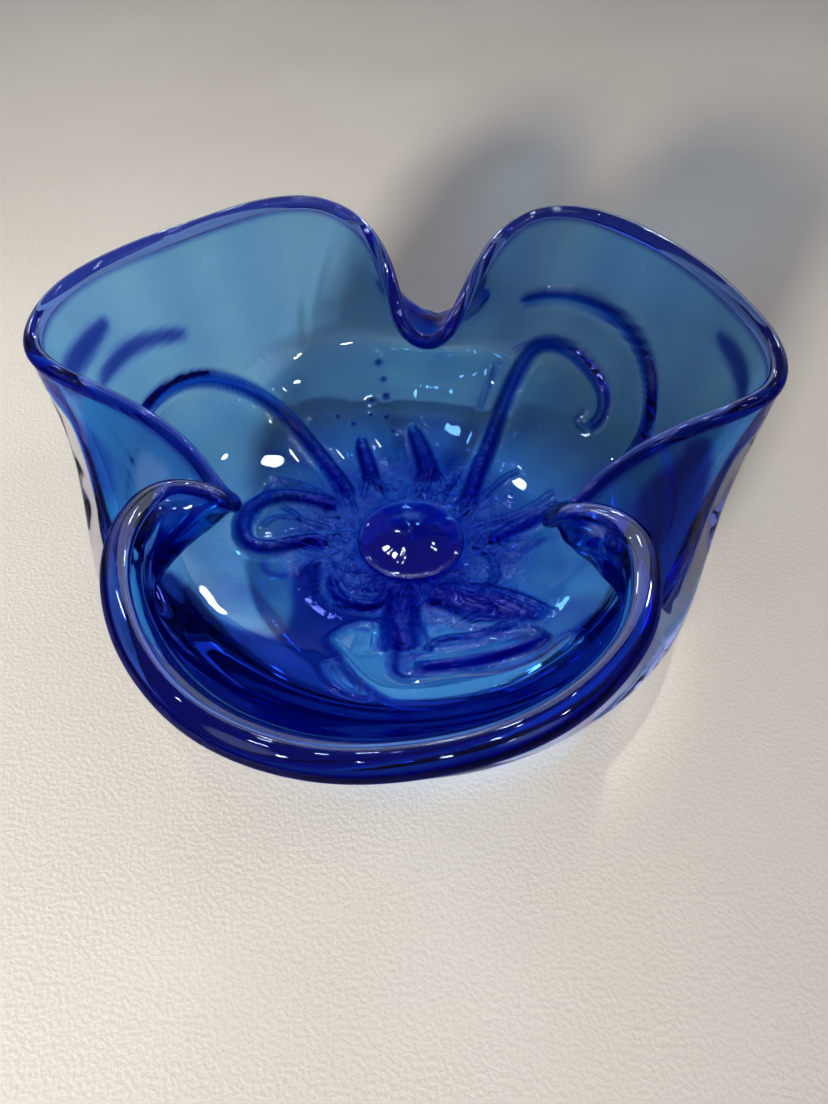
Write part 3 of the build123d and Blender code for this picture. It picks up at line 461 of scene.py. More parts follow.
def inner_half(height):
    return WALL_TOP_HALF + (WALL_LOW_IN - WALL_TOP_HALF) * (1 - height) ** 1.8


def lining_thickness(height):
    return LINING_TOP + (LINING_LOW - LINING_TOP) * (1 - height)


def lip_places(count, pull, samples=4096):
    """Places along the lip, closer together where it turns tightly."""
    along = np.linspace(0, RIM_LENGTH, samples, endpoint=False)
    rate = turning(rim_at(along)[0], reach=60, width=24.0, step=RIM_LENGTH / samples)
    share = 1 + pull * rate
    total = np.r_[0, np.cumsum((share + np.roll(share, -1)) / 2)]
    return np.interp(np.arange(count) * total[-1] / count, total,
                     np.linspace(0, RIM_LENGTH, samples + 1))


PLACES = lip_places(STATIONS, pull=9.0)
WALL = Wall(PLACES)


def seat(deg):
    """A ring of the lip's seat; degrees run from its bottom towards the outside."""
    middle, outward, upward = WALL.at(1.0)
    angle = math.radians(deg)
    return middle + SEAT_R * (math.sin(angle) * outward - math.cos(angle) * upward)


def ring(radius, z, share=0.0):
    """A level ring, with a share of the side swell."""
    swollen = radius + swell(WALL.bearing, share)
    return np.c_[swollen * np.cos(WALL.bearing), swollen * np.sin(WALL.bearing),
                 np.full(STATIONS, float(z))]


def wall_ring(height, offset):
    middle, outward, _ = WALL.at(height)
    return middle + outward * offset


def skin(key_rings, rows, dense=None):
    """Rings on a spline through the key rings; closer over the first `dense` share and the end."""
    key = np.array(key_rings)
    step = np.linalg.norm(np.diff(key, axis=0), axis=2).mean(1)
    knots = np.r_[0, np.cumsum(step)]
    if dense is None:
        wanted = np.linspace(0, knots[-1], rows)
    else:
        share = np.linspace(0, 1, 2001)
        weight = (1 + 2.2 / (1 + np.exp((share - dense) / 0.035))
                  + 1.5 * np.exp(-((1 - share) / 0.07) ** 2))
        total = np.r_[0, np.cumsum((weight[1:] + weight[:-1]) / 2)]
        wanted = np.interp(np.linspace(0, total[-1], rows), total, share) * knots[-1]
    return natural_spline(knots, key, wanted).reshape(rows, STATIONS, 3)


FOOT_RISE = WALL_Z - FLOOR_Z
OUTER = skin([ring(r, z, (z / WALL_Z) ** 1.5) for r, z in OUTER_PROFILE]
             + [wall_ring(h, outer_half(h)) for h in OUTER_HEIGHTS]
             + [seat(SEAT_DEG)], OUTER_ROWS)
MIDDLE = skin([ring(r, z, clamp((z - MID_SWELL_Z) / FOOT_RISE)) for r, z in MID_PROFILE]
              + [wall_ring(h, lining_thickness(h) - inner_half(h)) for h in INNER_HEIGHTS]
              + [seat(SEAT_MID_DEG)], MID_ROWS)
INNER = skin([ring(r, z, min(1.0, (z - FLOOR_Z) / FOOT_RISE)) for r, z in INNER_PROFILE]
             + [wall_ring(h, -inner_half(h)) for h in INNER_HEIGHTS]
             + [seat(-SEAT_DEG)], INNER_ROWS, dense=0.62)


def hollow_normals(rows):
    """Directions off a skin, on the side of the hollow."""
    around = np.roll(rows, -1, 1) - np.roll(rows, 1, 1)
    normal = np.cross(around, np.gradient(rows, axis=0))
    return normal / np.maximum(np.linalg.norm(normal, axis=2), 1e-9)[:, :, None]


def waviness(rows, waves, seed):
    """Low, slow waves over a skin of so many rows."""
    rng = np.random.default_rng(seed)
    up, around = np.meshgrid(np.linspace(0, 1, rows),
                             np.linspace(0, 2 * math.pi, STATIONS, endpoint=False), indexing="ij")
    total = np.zeros(up.shape)
    for _ in range(waves):
        turns = rng.integers(2, 15)
        rises = rng.uniform(0.5, 5.0)
        total += (np.cos(turns * around + rng.uniform(0, 6.28) + rng.uniform(-3, 3) * up)
                  * np.cos(rises * math.pi * up + rng.uniform(0, 6.28)) / turns ** 0.6)
    return total / math.sqrt(waves)


def end_fade(rows, first, last):
    """0 at both ends of the rows, rising to 1 over `first` and `last` rows; as a column."""
    row = np.arange(rows)[:, None]
    return clamp(np.minimum(row / first, (rows - 1 - row) / last))


# ------------------------------------------------------------------ meshes
def strip(count, rows, closed):
    """Quads between successive rings of `count` points."""
    a = np.arange(count)
    b = (a + 1) % count
    row = np.arange(rows if closed else rows - 1)[:, None]
    low = row * count
    high = (row + 1) % rows * count
    return np.stack([low + a, low + b, high + b, high + a], 2).reshape(-1, 4)


def fan(count, start, centre, flip):
    a = np.arange(count)
    b = (a + 1) % count
    faces = np.stack([start + a, start + b, np.full(count, centre)], 1)
    return faces[:, ::-1] if flip else faces


def signed_volume(verts, groups):
    triangles = np.concatenate([group[:, :3] for group in groups] + [groups[0][:, [0, 2, 3]]])
    a, b, c = (verts[triangles[:, i]] for i in range(3))
    return (a * np.cross(b, c)).sum() / 6


def make_solid(name, rings, material, air, poles=None, pole_air=(0, 0), sharp=(), **values):
    """A solid skinned over rings in mm, ended by two poles or, without them, joined end to end.

    air: 1 for each band of faces that meets air, 0 where it meets glass.
    sharp: indices of rings with a hard edge. values: point attributes over the rings' points.
    """
    rings = np.asarray(rings, float)
    rows, count = rings.shape[:2]
    verts = rings.reshape(-1, 3)
    groups = [strip(count, rows, closed=poles is None)]
    air = np.repeat(air, count)
    if poles is not None:
        verts = np.concatenate([verts, poles])
        groups.append(fan(count, 0, rows * count, True))
        groups.append(fan(count, (rows - 1) * count, rows * count + 1, False))
        air = np.r_[air, np.repeat(pole_air, count)]
    if signed_volume(verts, groups) < 0:
        groups = [group[:, ::-1] for group in groups]
    faces = [face for group in groups for face in group.tolist()]
    mesh = bpy.data.meshes.new(name)
    mesh.from_pydata((verts * MM).tolist(), [], faces)
    mesh.update()
    mesh.polygons.foreach_set("use_smooth", np.ones(len(faces), bool))
    meets_air = mesh.attributes.new("air", "FLOAT", "FACE")
    meets_air.data.foreach_set("value", air.astype(np.float32))
    for key, given in values.items():
        # the poles take the value of the last ring point
        padded = np.pad(given.ravel(), (0, len(verts) - rows * count), "edge")
        attribute = mesh.attributes.new(key, "FLOAT", "POINT")
        attribute.data.foreach_set("value", padded.astype(np.float32))
    if sharp:
        mark = np.zeros(len(verts), int)
        for i in sharp:
            mark[i * count:(i + 1) * count] = i + 1
        ends = np.empty(len(mesh.edges) * 2, np.int32)
        mesh.edges.foreach_get("vertices", ends)
        start, end = mark[ends.reshape(-1, 2)].T
        edge = mesh.attributes.new("sharp_edge", "BOOLEAN", "EDGE")
        edge.data.foreach_set("value", (start > 0) & (start == end))
    mesh.materials.append(material)
    mesh.validate()
    solid = bpy.data.objects.new(name, mesh)
    bpy.context.scene.collection.objects.link(solid)
    return solid


# --------------------------------------------------------------- materials
class Shader:
    """Builds the node tree of a material or world."""

    def __init__(self, owner):
        owner.use_nodes = True
        self.tree = owner.node_tree
        self.tree.nodes.clear()

    def feed(self, socket, value):
        """Link a socket, or set it to a plain value."""
        if isinstance(value, bpy.types.NodeSocket):
            self.tree.links.new(value, socket)
        else:
            socket.default_value = value

    def node(self, kind, settings=None, **inputs):
        """A node with its inputs by name, underscores standing for spaces."""
        node = self.tree.nodes.new("ShaderNode" + kind)
        for key, value in (settings or {}).items():
            setattr(node, key, value)
        for key, value in inputs.items():
            self.feed(node.inputs[key.replace("_", " ")], value)
        return node

    def join(self, kind, *values, **settings):
        """The first output of a node with its inputs in order."""
        node = self.node(kind, settings)
        for socket, value in zip(node.inputs, values):
            self.feed(socket, value)
        return node.outputs[0]

    def math(self, operation, *values):
        return self.join("Math", *values, operation=operation)

    def fade(self, value, over, to):
        """Smooth step of a value over one range to another."""
        node = self.node("MapRange", {"interpolation_type": "SMOOTHSTEP"}, Value=value,
                         From_Min=over[0], From_Max=over[1], To_Min=to[0], To_Max=to[1])
        return node.outputs["Result"]

    def attribute(self, name):
        return self.node("Attribute", {"attribute_name": name}).outputs["Fac"]

    def facing(self):
        return self.node("LayerWeight", Blend=0.5).outputs["Facing"]

    def noise(self, position, **inputs):
        return self.node("TexNoise", Vector=position, **inputs).outputs["Fac"]

    def bump(self, **inputs):
        return self.node("Bump", **inputs).outputs["Normal"]

    def ramp(self, factor, *stops):
        """Colour ramp between two stops of position and colour."""
        node = self.node("ValToRGB", Fac=factor)
        for element, (position, colour) in zip(node.color_ramp.elements, stops):
            element.position = position
            element.color = (*colour, 1)
        return node.outputs["Color"]


TINT_AND_SHADE_LOSS = (2.00, 1.95, 0.62)       # what a full dose of tint and painted shade takes off each colour, as a power of e
LAMP_TINT = (1.0, 1.0, 1.0)    # share of each colour of lamp light let through
GLASS_IOR, CLEAR_RIM_IOR_DROP = 1.5, 0.46


def lamp_light(shader):
    """Lamp light goes straight on, weakened where it would be thrown aside or comes in low."""
    kept = shader.fade(shader.facing(), over=(0.18, 0.95), to=(0.96, 0.10))
    incoming = shader.node("NewGeometry").outputs["Incoming"]
    rise = shader.node("SeparateXYZ", Vector=incoming).outputs["Z"]
    steep = shader.fade(shader.math("ABSOLUTE", rise), over=(0.48, 0.75), to=(0.70, 1.0))
    passed = shader.math("MULTIPLY", kept, steep)
    colour = shader.join("CombineColor",
                         *[shader.math("MULTIPLY", passed, share) for share in LAMP_TINT])
    return shader.join("BsdfTransparent", colour)


def dark_threads(shader, position):
    """Fine threads, pulled and swirled: their noise, where they lie, and their strength."""
    ripple = shader.noise(position, Scale=150.0, Detail=1.0, Roughness=0.5, Distortion=2.2)
    where = shader.attribute("busy")
    centred = shader.math("SUBTRACT", shader.math("MULTIPLY", ripple, 2.0), 1.0)
    ridge = shader.math("SUBTRACT", 1.0, shader.math("ABSOLUTE", centred))
    sharpness = 9.0
    strength = shader.math("MULTIPLY", shader.math("POWER", ridge, sharpness), where)
    return ripple, where, strength


def glass(name, absorb, bump=0.0, bump_scale=0.0, rough=0.0, ink=False, clear_rim=False,
          threads=False):
    """Glass that bends light only where it meets air.

    absorb: per mm for red, green and blue. bump: height in metres of the surface's waves.
    """
    material = bpy.data.materials.new(name)
    shader = Shader(material)
    open_side = shader.math("GREATER_THAN", shader.attribute("air"), 0.5)
    surface = shader.node("BsdfGlass", Color=(1, 1, 1, 1), Roughness=rough, IOR=GLASS_IOR)
    if bump:
        position = shader.node("TexCoord").outputs["Object"]
    if threads:
        ripple, where, strength = dark_threads(shader, position)
    # the attribute darkens the glass's colour: its tint, and painted shade in places
    if ink:
        amount = shader.attribute("ink")
        if threads:
            thread_ink = 1.0
            amount = shader.math("ADD", amount, shader.math("MULTIPLY", strength, thread_ink))
        kept = [shader.math("POWER", math.exp(-loss), amount) for loss in TINT_AND_SHADE_LOSS]
        shader.feed(surface.inputs["Color"], shader.join("CombineColor", *kept))
    if clear_rim:
        # thick clear glass seen edge on hardly bends what lies behind its rim
        where_clear = shader.attribute("clear_rim")
        edge_on = shader.fade(shader.facing(), over=(0.38, 0.56), to=(0.0, 1.0))
        weight = shader.math("MULTIPLY", edge_on, where_clear)
        drop = shader.math("MULTIPLY", weight, CLEAR_RIM_IOR_DROP)
        shader.feed(surface.inputs["IOR"], shader.math("SUBTRACT", GLASS_IOR, drop))
    if bump:
        waves = shader.noise(position, Scale=bump_scale, Detail=2.0, Roughness=0.45,
                             Distortion=0.6)
        normal = shader.bump(Strength=1.0, Distance=bump, Height=waves)
        if threads:
            ripple_rise, thread_rise = 1.6, 0.35
            rippled = shader.math("MULTIPLY", shader.math("MULTIPLY", ripple, where), ripple_rise)
            height = shader.math("ADD", rippled, shader.math("MULTIPLY", strength, thread_rise))
            normal = shader.bump(Strength=1.0, Distance=0.0012, Height=height, Normal=normal)
        shader.feed(surface.inputs["Normal"], normal)
    is_shadow = shader.node("LightPath").outputs["Is Shadow Ray"]
    skin_light = shader.join("MixShader", is_shadow, surface.outputs[0], lamp_light(shader))
    unbent = shader.join("BsdfTransparent")
    density = max(absorb) * 1000
    kept = [1 - loss * 1000 / density for loss in absorb]
    body = shader.node("VolumeAbsorption", Density=density, Color=(*kept, 1))
    shader.node("OutputMaterial", Surface=shader.join("MixShader", open_side, unbent, skin_light),
                Volume=body.outputs[0])
    material.diffuse_color = (0.1, 0.3, 0.9, 1)
    return material


CLEAR = glass("clear_glass", absorb=(0.0110, 0.0110, 0.0060), bump=0.00025, bump_scale=28,
              clear_rim=True)
PAD = glass("ground_clear_glass", absorb=(0.0060, 0.0050, 0.0030), bump=0.0001, bump_scale=300,
            rough=0.25)
BLUE = glass("blue_glass", absorb=(0.57, 0.19, 0.024), bump=0.00016, bump_scale=55, ink=True,
             threads=True)
LIP = glass("lip_cobalt_glass", absorb=(0.40, 0.24, 0.030), bump=0.00012, bump_scale=60, ink=True)
COBALT = glass("button_cobalt_glass", absorb=(0.85, 0.55, 0.09), bump=0.0003, bump_scale=140)
CORD = glass("cord_cobalt_glass", absorb=(1.15, 0.58, 0.085))


# ------------------------------------------------------------ clear casing
def worked_outer():
    """The outer skin with low waves, and creases below the lip's tight folds."""
    height = np.linspace(0, 1, OUTER_ROWS)[:, None]
    folded = clamp((turning(WALL.rim, reach=14, width=6.0) - 0.025) / 0.07)
    ripples = (np.cos(2 * math.pi * PLACES / 11.0 + 5 * height)
               + 0.6 * np.cos(2 * math.pi * PLACES / 6.3 - 8 * height + 1))
    left_share = np.where(WALL.rim[:, 0] < 0, 1.0, 0.3)      # creased most on the left
    crease = folded * clamp((height - 0.42) / 0.22) * ripples * left_share
    rise = waviness(OUTER_ROWS, waves=26, seed=3) * 0.10 + crease * 0.22
    rise *= end_fade(OUTER_ROWS, 10.0, 12.0)
    return OUTER - hollow_normals(OUTER) * rise[:, :, None]


def casing():
    socket_r, socket_z = PAD_R + SEAT_GAP, PAD_Z + SEAT_GAP
    under = [ring(socket_r, socket_z), ring(socket_r, 0)] + [ring(r, 0) for r in FOOT_RADII]
    lip_seat = [seat(42), seat(28)]
    bed = MIDDLE - hollow_normals(MIDDLE) * LINING_GAP
    rings = np.array(under + list(worked_outer()) + lip_seat + list(bed[::-1]))
    top = len(under) + OUTER_ROWS - 1
    air = np.ones(len(rings) - 1)
    air[0] = 0
    air[top:] = 0
    return make_solid("casing_glass", rings, CLEAR, air,
                      poles=[(0, 0, socket_z), (0, 0, BUTTON_BED_Z)],
                      sharp=(0, 1, top, top + len(lip_seat) + 1, len(rings) - 1),
                      clear_rim=ease((90 - rings[:, :, 2]) / 14.0))


# --------------------------------------------------------------- blue lining
# Values over the inner skin are flat arrays, one for each of these points.
SKIN = INNER.reshape(-1, 3)
SKIN_ANGLE = np.arctan2(SKIN[:, 1], SKIN[:, 0])
SKIN_R = np.hypot(SKIN[:, 0], SKIN[:, 1])


def mm_below_lip():
    step = np.linalg.norm(np.diff(INNER, axis=0), axis=2)
    return (step.sum(0) - np.r_[np.zeros((1, STATIONS)), np.cumsum(step, 0)]).ravel()


BELOW_LIP = mm_below_lip()
FRONT = np.tile(ease((-28 - WALL.rim[:, 1]) / 8.0), INNER_ROWS)      # 1 under the front lobe


def nearest(path, reach, block=4000):
    """Skin points within reach of a path: index, distance, and index of the nearest path point."""
    within = (SKIN > path.min(0) - reach) & (SKIN < path.max(0) + reach)
    near = np.where(within.all(1))[0]
    far = np.zeros(len(near))
    which = np.zeros(len(near), int)
    for start in range(0, len(near), block):
        part = slice(start, start + block)
        apart = np.linalg.norm(SKIN[near[part]][:, None, :] - path[None, :, :], axis=2)
        which[part] = apart.argmin(1)
        far[part] = apart.min(1)
    return near, far, which


def end_taper(share, length, over, power):
    return clamp(np.minimum(share, 1 - share) * length / over) ** power


def raise_cord(name, rows, lift, dip, ink):
    """A ridge over a cord, a shallow dip on either side, and darker colour along its edges."""
    near, far, which = nearest(rows[:, :3], reach=12.0)
    length = distances(CORDS[name][:, :3])[-1]
    taper = end_taper(which / (len(rows) - 1), length, over=3.0, power=0.6)
    radius = rows[which, 6]
    width = radius * 0.95 * CORD_SPREAD.get(name, 1.0)
    up = 1.36 * radius * taper * np.exp(-((far / width) ** 2.4) / 2)
    down = -0.24 * radius * taper * bell((far - 2.5 * width) / (0.8 * radius))
    edge = bell((far - 1.25 * width) / (0.42 * radius))
    lift[near] = np.maximum(lift[near], up)
    dip[near] = np.minimum(dip[near], np.where(up < 0.05, down, 0))
    ink[near] = np.maximum(ink[near], 0.85 * taper * edge)


def raise_strand(text, lift, ink):
    head, points = text.split(":")
    radius, height = map(float, head.split())
    path, along = resample(table(points, 3), per_mm=3, extra=3)
    near, far, which = nearest(path, reach=6.0)
    taper = end_taper(which / (len(path) - 1), along[-1], over=2.5, power=0.5)
    width = radius * 0.95
    lift[near] += height * radius * taper * np.exp(-((far / width) ** 2.2) / 2) * 0.9
    edge = bell((far - 1.3 * width) / (0.5 * radius))
    ink[near] = np.maximum(ink[near], 0.42 * taper * edge)


def darken_along(points, half, strength, ink):
    path, _ = resample(np.array(points, float), per_mm=2, extra=3)
    near, far, which = nearest(path, reach=half * 3)
    share = np.clip(which / (len(path) - 1), 0.02, 0.98)
    slim = 0.35 + 0.65 * np.sin(math.pi * share) ** 0.5
    dark = strength * 1.1 * soft_step((half * slim - far) / 0.45)
    ink[near] = np.maximum(ink[near], dark)


def depth_in(outline):
    """How far inside a softened plan outline each skin point lies; negative outside."""
    loop = np.r_[outline, outline[:1]]
    along = distances(loop)
    total = along[-1]
    wrapped = np.r_[loop[-4:-1], loop, loop[1:4]]
    wrapped_along = np.r_[along[-4:-1] - total, along, along[1:4] + total]
    even = np.linspace(0, total, 6 * len(loop), endpoint=False)
    straight = np.array([np.interp(even, along, loop[:, i]) for i in range(2)]).T
    start = 0.5 * natural_spline(wrapped_along, wrapped, even) + 0.5 * straight
    x, y = SKIN[:, 0], SKIN[:, 1]
    odd = np.zeros(len(SKIN), bool)
    far = np.full(len(SKIN), 1e9)
    for (ax, ay), (bx, by) in zip(start, np.roll(start, -1, 0)):
        dx, dy = bx - ax, by - ay
        odd ^= ((ay > y) != (by > y)) & (x < dx * (y - ay) / (dy + 1e-12) + ax)
        t = clamp(((x - ax) * dx + (y - ay) * dy) / (dx ** 2 + dy ** 2 + 1e-12))
        far = np.minimum(far, np.hypot(x - ax - t * dx, y - ay - t * dy))
    return np.where(odd, far, -far)


DEPTH = {name: depth_in(outline) for name, outline in PATCHES.items()}


def inside(name, soft):
    """1 inside a patch, 0 outside, with an edge `soft` mm wide."""
    return soft_step(DEPTH[name] / (soft / 4))


def twist_streaks(waves=14):
    """Deeper and paler streaks, drawn up the wall with a twist."""
    rng = np.random.default_rng(4)
    total = np.zeros(len(SKIN))
    rise = np.log(np.maximum(SKIN_R, 10) / 20)
    for _ in range(waves):
        turns = rng.integers(3, 24)
        phase = rng.uniform(0, 6.28)
        total += np.cos(turns * SKIN_ANGLE + phase + rng.uniform(-1.5, 1.5) * rise)
    return total / math.sqrt(waves) * clamp((SKIN_R - 18) / 25)


def star_rays(rays=37):
    """Strands pulled out of the middle, like the rays of a star."""
    rng = np.random.default_rng(11)
    total = np.zeros(len(SKIN))
    for i in range(rays):
        bearing = 2 * math.pi * (i + rng.uniform(-0.35, 0.35)) / rays
        reach = rng.uniform(20, 34)
        bend = rng.uniform(-0.014, 0.014)
        width = rng.uniform(0.32, 0.85)
        turn = SKIN_ANGLE - bearing - bend * (SKIN_R - 16) + math.pi
        aside = (np.mod(turn, 2 * math.pi) - math.pi) * SKIN_R
        total += (rng.uniform(0.25, 1.0) * bell(aside / width)
                  * clamp((reach - SKIN_R) / 8) * clamp((SKIN_R - 15.2) / 2.5))
    return total


def lining_relief():
    """Ridges, rims and dips of the inner face in mm, and its tint and painted shade."""
    lift, dip, ink = np.zeros((3, len(SKIN)))
    for name, rows in DENSE_CORDS.items():
        raise_cord(name, rows, lift, dip, ink)
    for text in STRANDS.strip().strip(";").split(";"):
        raise_strand(text, lift, ink)
    for size, *at in SPECKS:
        off = np.linalg.norm(SKIN - at, axis=1) / size
        lift += 0.45 * bell(off / 0.55)
        ink = np.maximum(ink, 0.95 * clamp(1.6 * bell(off / 0.6) - 0.3))
    for points, half, strength in DARK_STREAKS:
        darken_along(points, half, strength, ink)

    # painted navy shade over the front inner wall, cut away by the paler patches
    outside_pale = 1 - inside("pale", soft=1.6)
    outside_triangle = inside("triangle", soft=1.2)
    painted_navy_shade = inside("painted_navy_shade", soft=2.0) * (0.35 + 0.65 * clamp((BELOW_LIP - 7.0) / 5.0))
    painted_navy_shade *= outside_pale * (1 - 0.8 * inside("eye", soft=1.4))
    painted_navy_shade *= (1 - 0.9 * outside_triangle) * (1 - inside("glow", soft=1.6))
    ink = np.maximum(ink, painted_navy_shade)
    # a painted reflection: a pale band under the front lip; a dark line under the rest
    ink *= 1 - 0.85 * FRONT * ease(1 - np.abs(BELOW_LIP - 2.2) / 3.2)
    ink = np.maximum(ink, (1 - FRONT) * 0.5 * soft_step((0.9 - BELOW_LIP) / 0.3))
    ink = np.clip(ink + (0.10 + 0.05 * twist_streaks()) * outside_pale, 0, 1.3)

    # raised rims round the patches, with darker colour beside them
    for name, height in (("pale", 0.60), ("eye", 0.5), ("glow", 0.45), ("triangle", 0.35)):
        lift += height * np.exp(-(DEPTH[name] / 0.9) ** 2 / 2)
    # patch, strength, distance outside its edge, width
    for name, strength, offset, width in (("pale", 0.38, 0.9, 0.55), ("glow", 0.30, 0.4, 0.5),
                                          ("triangle", 0.4, 0.3, 0.5)):
        ink += strength * bell((DEPTH[name] + offset) / width)
    # nested ripples inside the eye
    in_eye = clamp(DEPTH["eye"] / 0.5)
    ripple = np.cos(2 * math.pi * DEPTH["eye"] / 1.5)
    ink += in_eye * 0.45 * (0.5 - 0.5 * ripple) ** 2
    lift += in_eye * 0.22 * ripple
    # deeper about the star, paler in the cloud of flecks
    ink += 0.40 * clamp((40 - SKIN_R) / 12) * outside_pale * (1 - outside_triangle)
    cloud = np.exp(-(np.linalg.norm(SKIN - CLOUD_AT, axis=1) / CLOUD_R) ** 2)
    return lift + dip, np.clip(ink - 0.10 * cloud, 0, 1.35)


def thread_amount(lift):
    """Where the fine dark threads lie: about the star, in patches, and on low ridges."""
    about = clamp((37 - SKIN_R) / 12) * clamp((SKIN_R - 14.5) / 2)
    patchy = waviness(INNER_ROWS, waves=30, seed=9).ravel()
    about *= np.clip(0.55 + 0.75 * patchy, 0.12, 1.2)
    return np.maximum(0.85 * about, 0.5 * clamp(lift / 0.8) * clamp((52 - SKIN_R) / 8))


def lining():
    grid = (INNER_ROWS, STATIONS)
    lift, ink = lining_relief()
    waves = waviness(INNER_ROWS, waves=34, seed=5) * 0.20
    # a low second roll just under the front lobe's lip
    roll = 1.5 * ease((BELOW_LIP - 0.6) / 4.2) * (1 - ease((BELOW_LIP - 4.8) / 8.0)) * FRONT
    rise = ((lift + star_rays()).reshape(grid) + waves) * end_fade(INNER_ROWS, 6.0, 9.0)
    rise += roll.reshape(grid)
    hollow = INNER + hollow_normals(INNER) * rise[:, :, None]

    lip_seat = [seat(deg) for deg in (-40, -20, 0)]
    collar = [ring(BUTTON_R, 22.5), ring(BUTTON_R, 24.5)]
    rings = lip_seat + list(MIDDLE[::-1]) + collar + list(hollow)
    first = len(rings) - INNER_ROWS
    air = np.zeros(len(rings))
    air[first:-1] = 1
    hidden = np.zeros(first * STATIONS)
    return make_solid("lining_glass", rings, BLUE, air,
                      sharp=(len(lip_seat), len(lip_seat) + MID_ROWS - 1, first, len(rings) - 1),
                      ink=np.r_[hidden, ink], busy=np.r_[hidden, thread_amount(lift)])


# ------------------------------------------------------------------ lip bead
def lip(places=960, sides=36):
    along = np.linspace(0, RIM_LENGTH, places, endpoint=False)
    wall = Wall(along)
    middle, outward, upward = wall.at(1.0)
    turn = 2 * math.pi * along / RIM_LENGTH
    lobe = ease((-26 - wall.rim[:, 1]) / 10.0)       # 1 along the front lobe
    fullness = (0.14 * lobe + 0.035 * np.cos(7 * turn + 1) + 0.03 * np.cos(13 * turn + 2.2)
                + 0.02 * np.cos(23 * turn))
    angles = np.arange(sides) * 2 * math.pi / sides
    rings, inks = [], []
    for angle in angles:
        sine, cosine = math.sin(angle), math.cos(angle)
        high = 0.5 - 0.5 * cosine                    # 0 where it sits on the wall
        radius = LIP_R * (1 + fullness * high)
        # rolled over towards the hollow along the front lobe
        widen = 1 + 0.55 * lobe * (1 if sine < 0 else 0.15)
        across = radius * sine * widen - 0.5 * lobe * high
        flatten = 1 - 0.16 * lobe if cosine < 0 else 1.0
        rise = radius * cosine * flatten
        rings.append(middle + across[:, None] * outward - rise[:, None] * upward)
        # the bead's own tint, with painted shade darkening its outer side
        outer = max(0.0, sine) ** 0.7
        dark = lobe * (0.12 + 1.05 * outer) + (1 - lobe) * (0.10 + 0.85 * outer * outer)
        inks.append(np.clip(dark, 0, 1.2))
    seated = np.cos(angles + math.pi / sides) > math.cos(math.radians(SEAT_DEG))
    return make_solid("lip_bead", rings, LIP, np.where(seated, 0.0, 1.0), ink=np.array(inks))


# -------------------------------------------------------------- button, pad
def lathe(name, profile, air, material, count, sharp, wobble=None):
    """A solid turned from (radius, z) pairs, the first and last on the axis.

    air: one value for each span of the profile. wobble: waves in z above the floor's level.
    """
    angles = np.linspace(0, 2 * math.pi, count, endpoint=False)
    rings = []
    for radius, z in profile[1:-1]:
        wave = wobble(radius, angles) if wobble and z > FLOOR_Z - 0.01 else 0 * angles
        rings.append(np.c_[radius * np.cos(angles), radius * np.sin(angles), z + wave])
    return make_solid(name, rings, material, air[1:-1],
                      poles=[(0, 0, profile[0][1]), (0, 0, profile[-1][1])],
                      pole_air=(air[0], air[-1]), sharp=sharp)


def button():
    radius, bed = BUTTON_R - SEAT_GAP, BUTTON_BED_Z + SEAT_GAP
    sunk = [(0, bed), (radius * 0.5, bed), (radius, bed), (radius, 23.0), (radius, FLOOR_Z - 0.1)]
    # share of the radius, height above the floor
    crown = [(0.995, 0.45), (0.965, 0.85), (0.91, 1.10), (0.84, 1.12), (0.76, 1.05),
             (0.66, 1.15), (0.56, 1.38), (0.46, 1.62), (0.36, 1.80), (0.26, 1.92), (0.16, 1.98)]
    top = [(radius * share, FLOOR_Z + rise) for share, rise in crown]
    top += [(radius * 0.07, BUTTON_TOP_Z), (0, BUTTON_TOP_Z)]

    def wobble(at_radius, angles):
        return min(1.0, at_radius / radius) * (0.10 * np.cos(5 * angles + 0.7)
                                               + 0.07 * np.cos(9 * angles + 2)
                                               + 0.05 * np.cos(14 * angles))

    return lathe("button_drop", sunk + top, [0] * 4 + [1] * len(top), COBALT, count=240,
                 sharp=(1, 3), wobble=wobble)


def pad():
    profile = [(0, 0.25), (PAD_R * 0.35, 0.22), (PAD_R * 0.62, 0.12), (PAD_R * 0.80, 0.03),
               (PAD_R * 0.90, 0.0), (PAD_R - 0.3, 0.0), (PAD_R, 0.3), (PAD_R, PAD_Z * 0.6),
               (PAD_R, PAD_Z), (PAD_R * 0.5, PAD_Z), (0, PAD_Z)]
    return lathe("ground_pad", profile, [1] * 6 + [0] * 4, PAD, count=200, sharp=(7,))


# ------------------------------------------------------------- cords, bead
def cord(name, rows, sides=20):
    """A round or flattened trail with its ends drawn to a point, lying in the lining."""
    rows = rows.copy()
    rows[:, 3:6] = unit(rows[:, 3:6])
    rows, along = resample(rows, per_mm=3, extra=8)
    path, normal, radius = rows[:, :3], rows[:, 3:6], rows[:, 6]
    ahead = unit(np.gradient(path, axis=0))
    normal = unit(normal - (normal * ahead).sum(1)[:, None] * ahead)
    side = np.cross(ahead, normal)
    taper = clamp(np.minimum(along, along[-1] - along) / (2.2 * radius))
    taper = np.sqrt(np.clip(1 - (1 - taper) ** 2, 0.0009, 1))
    rng = np.random.default_rng(sum(map(ord, name)))
    wobble = (1 + 0.07 * np.sin(along / 3.1 + rng.uniform(0, 6))
              + 0.05 * np.sin(along / 1.7 + rng.uniform(0, 6)))
    spread = CORD_SPREAD.get(name, 1.0)
    flatten = 0.85 if spread > 1.3 else 1.0
    girth = (radius * 0.78 * taper * wobble)[:, None, None]
    centre = path - normal * (radius * 0.06)[:, None]
    angles = (np.arange(sides) * 2 * math.pi / sides)[None, :, None]
    rings = centre[:, None, :] + girth * (flatten * np.cos(angles) * normal[:, None, :]
                                          + spread * np.sin(angles) * side[:, None, :])
    return make_solid(name + "_glass", rings, CORD, np.zeros(len(rings) - 1),
                      poles=[centre[0], centre[-1]])


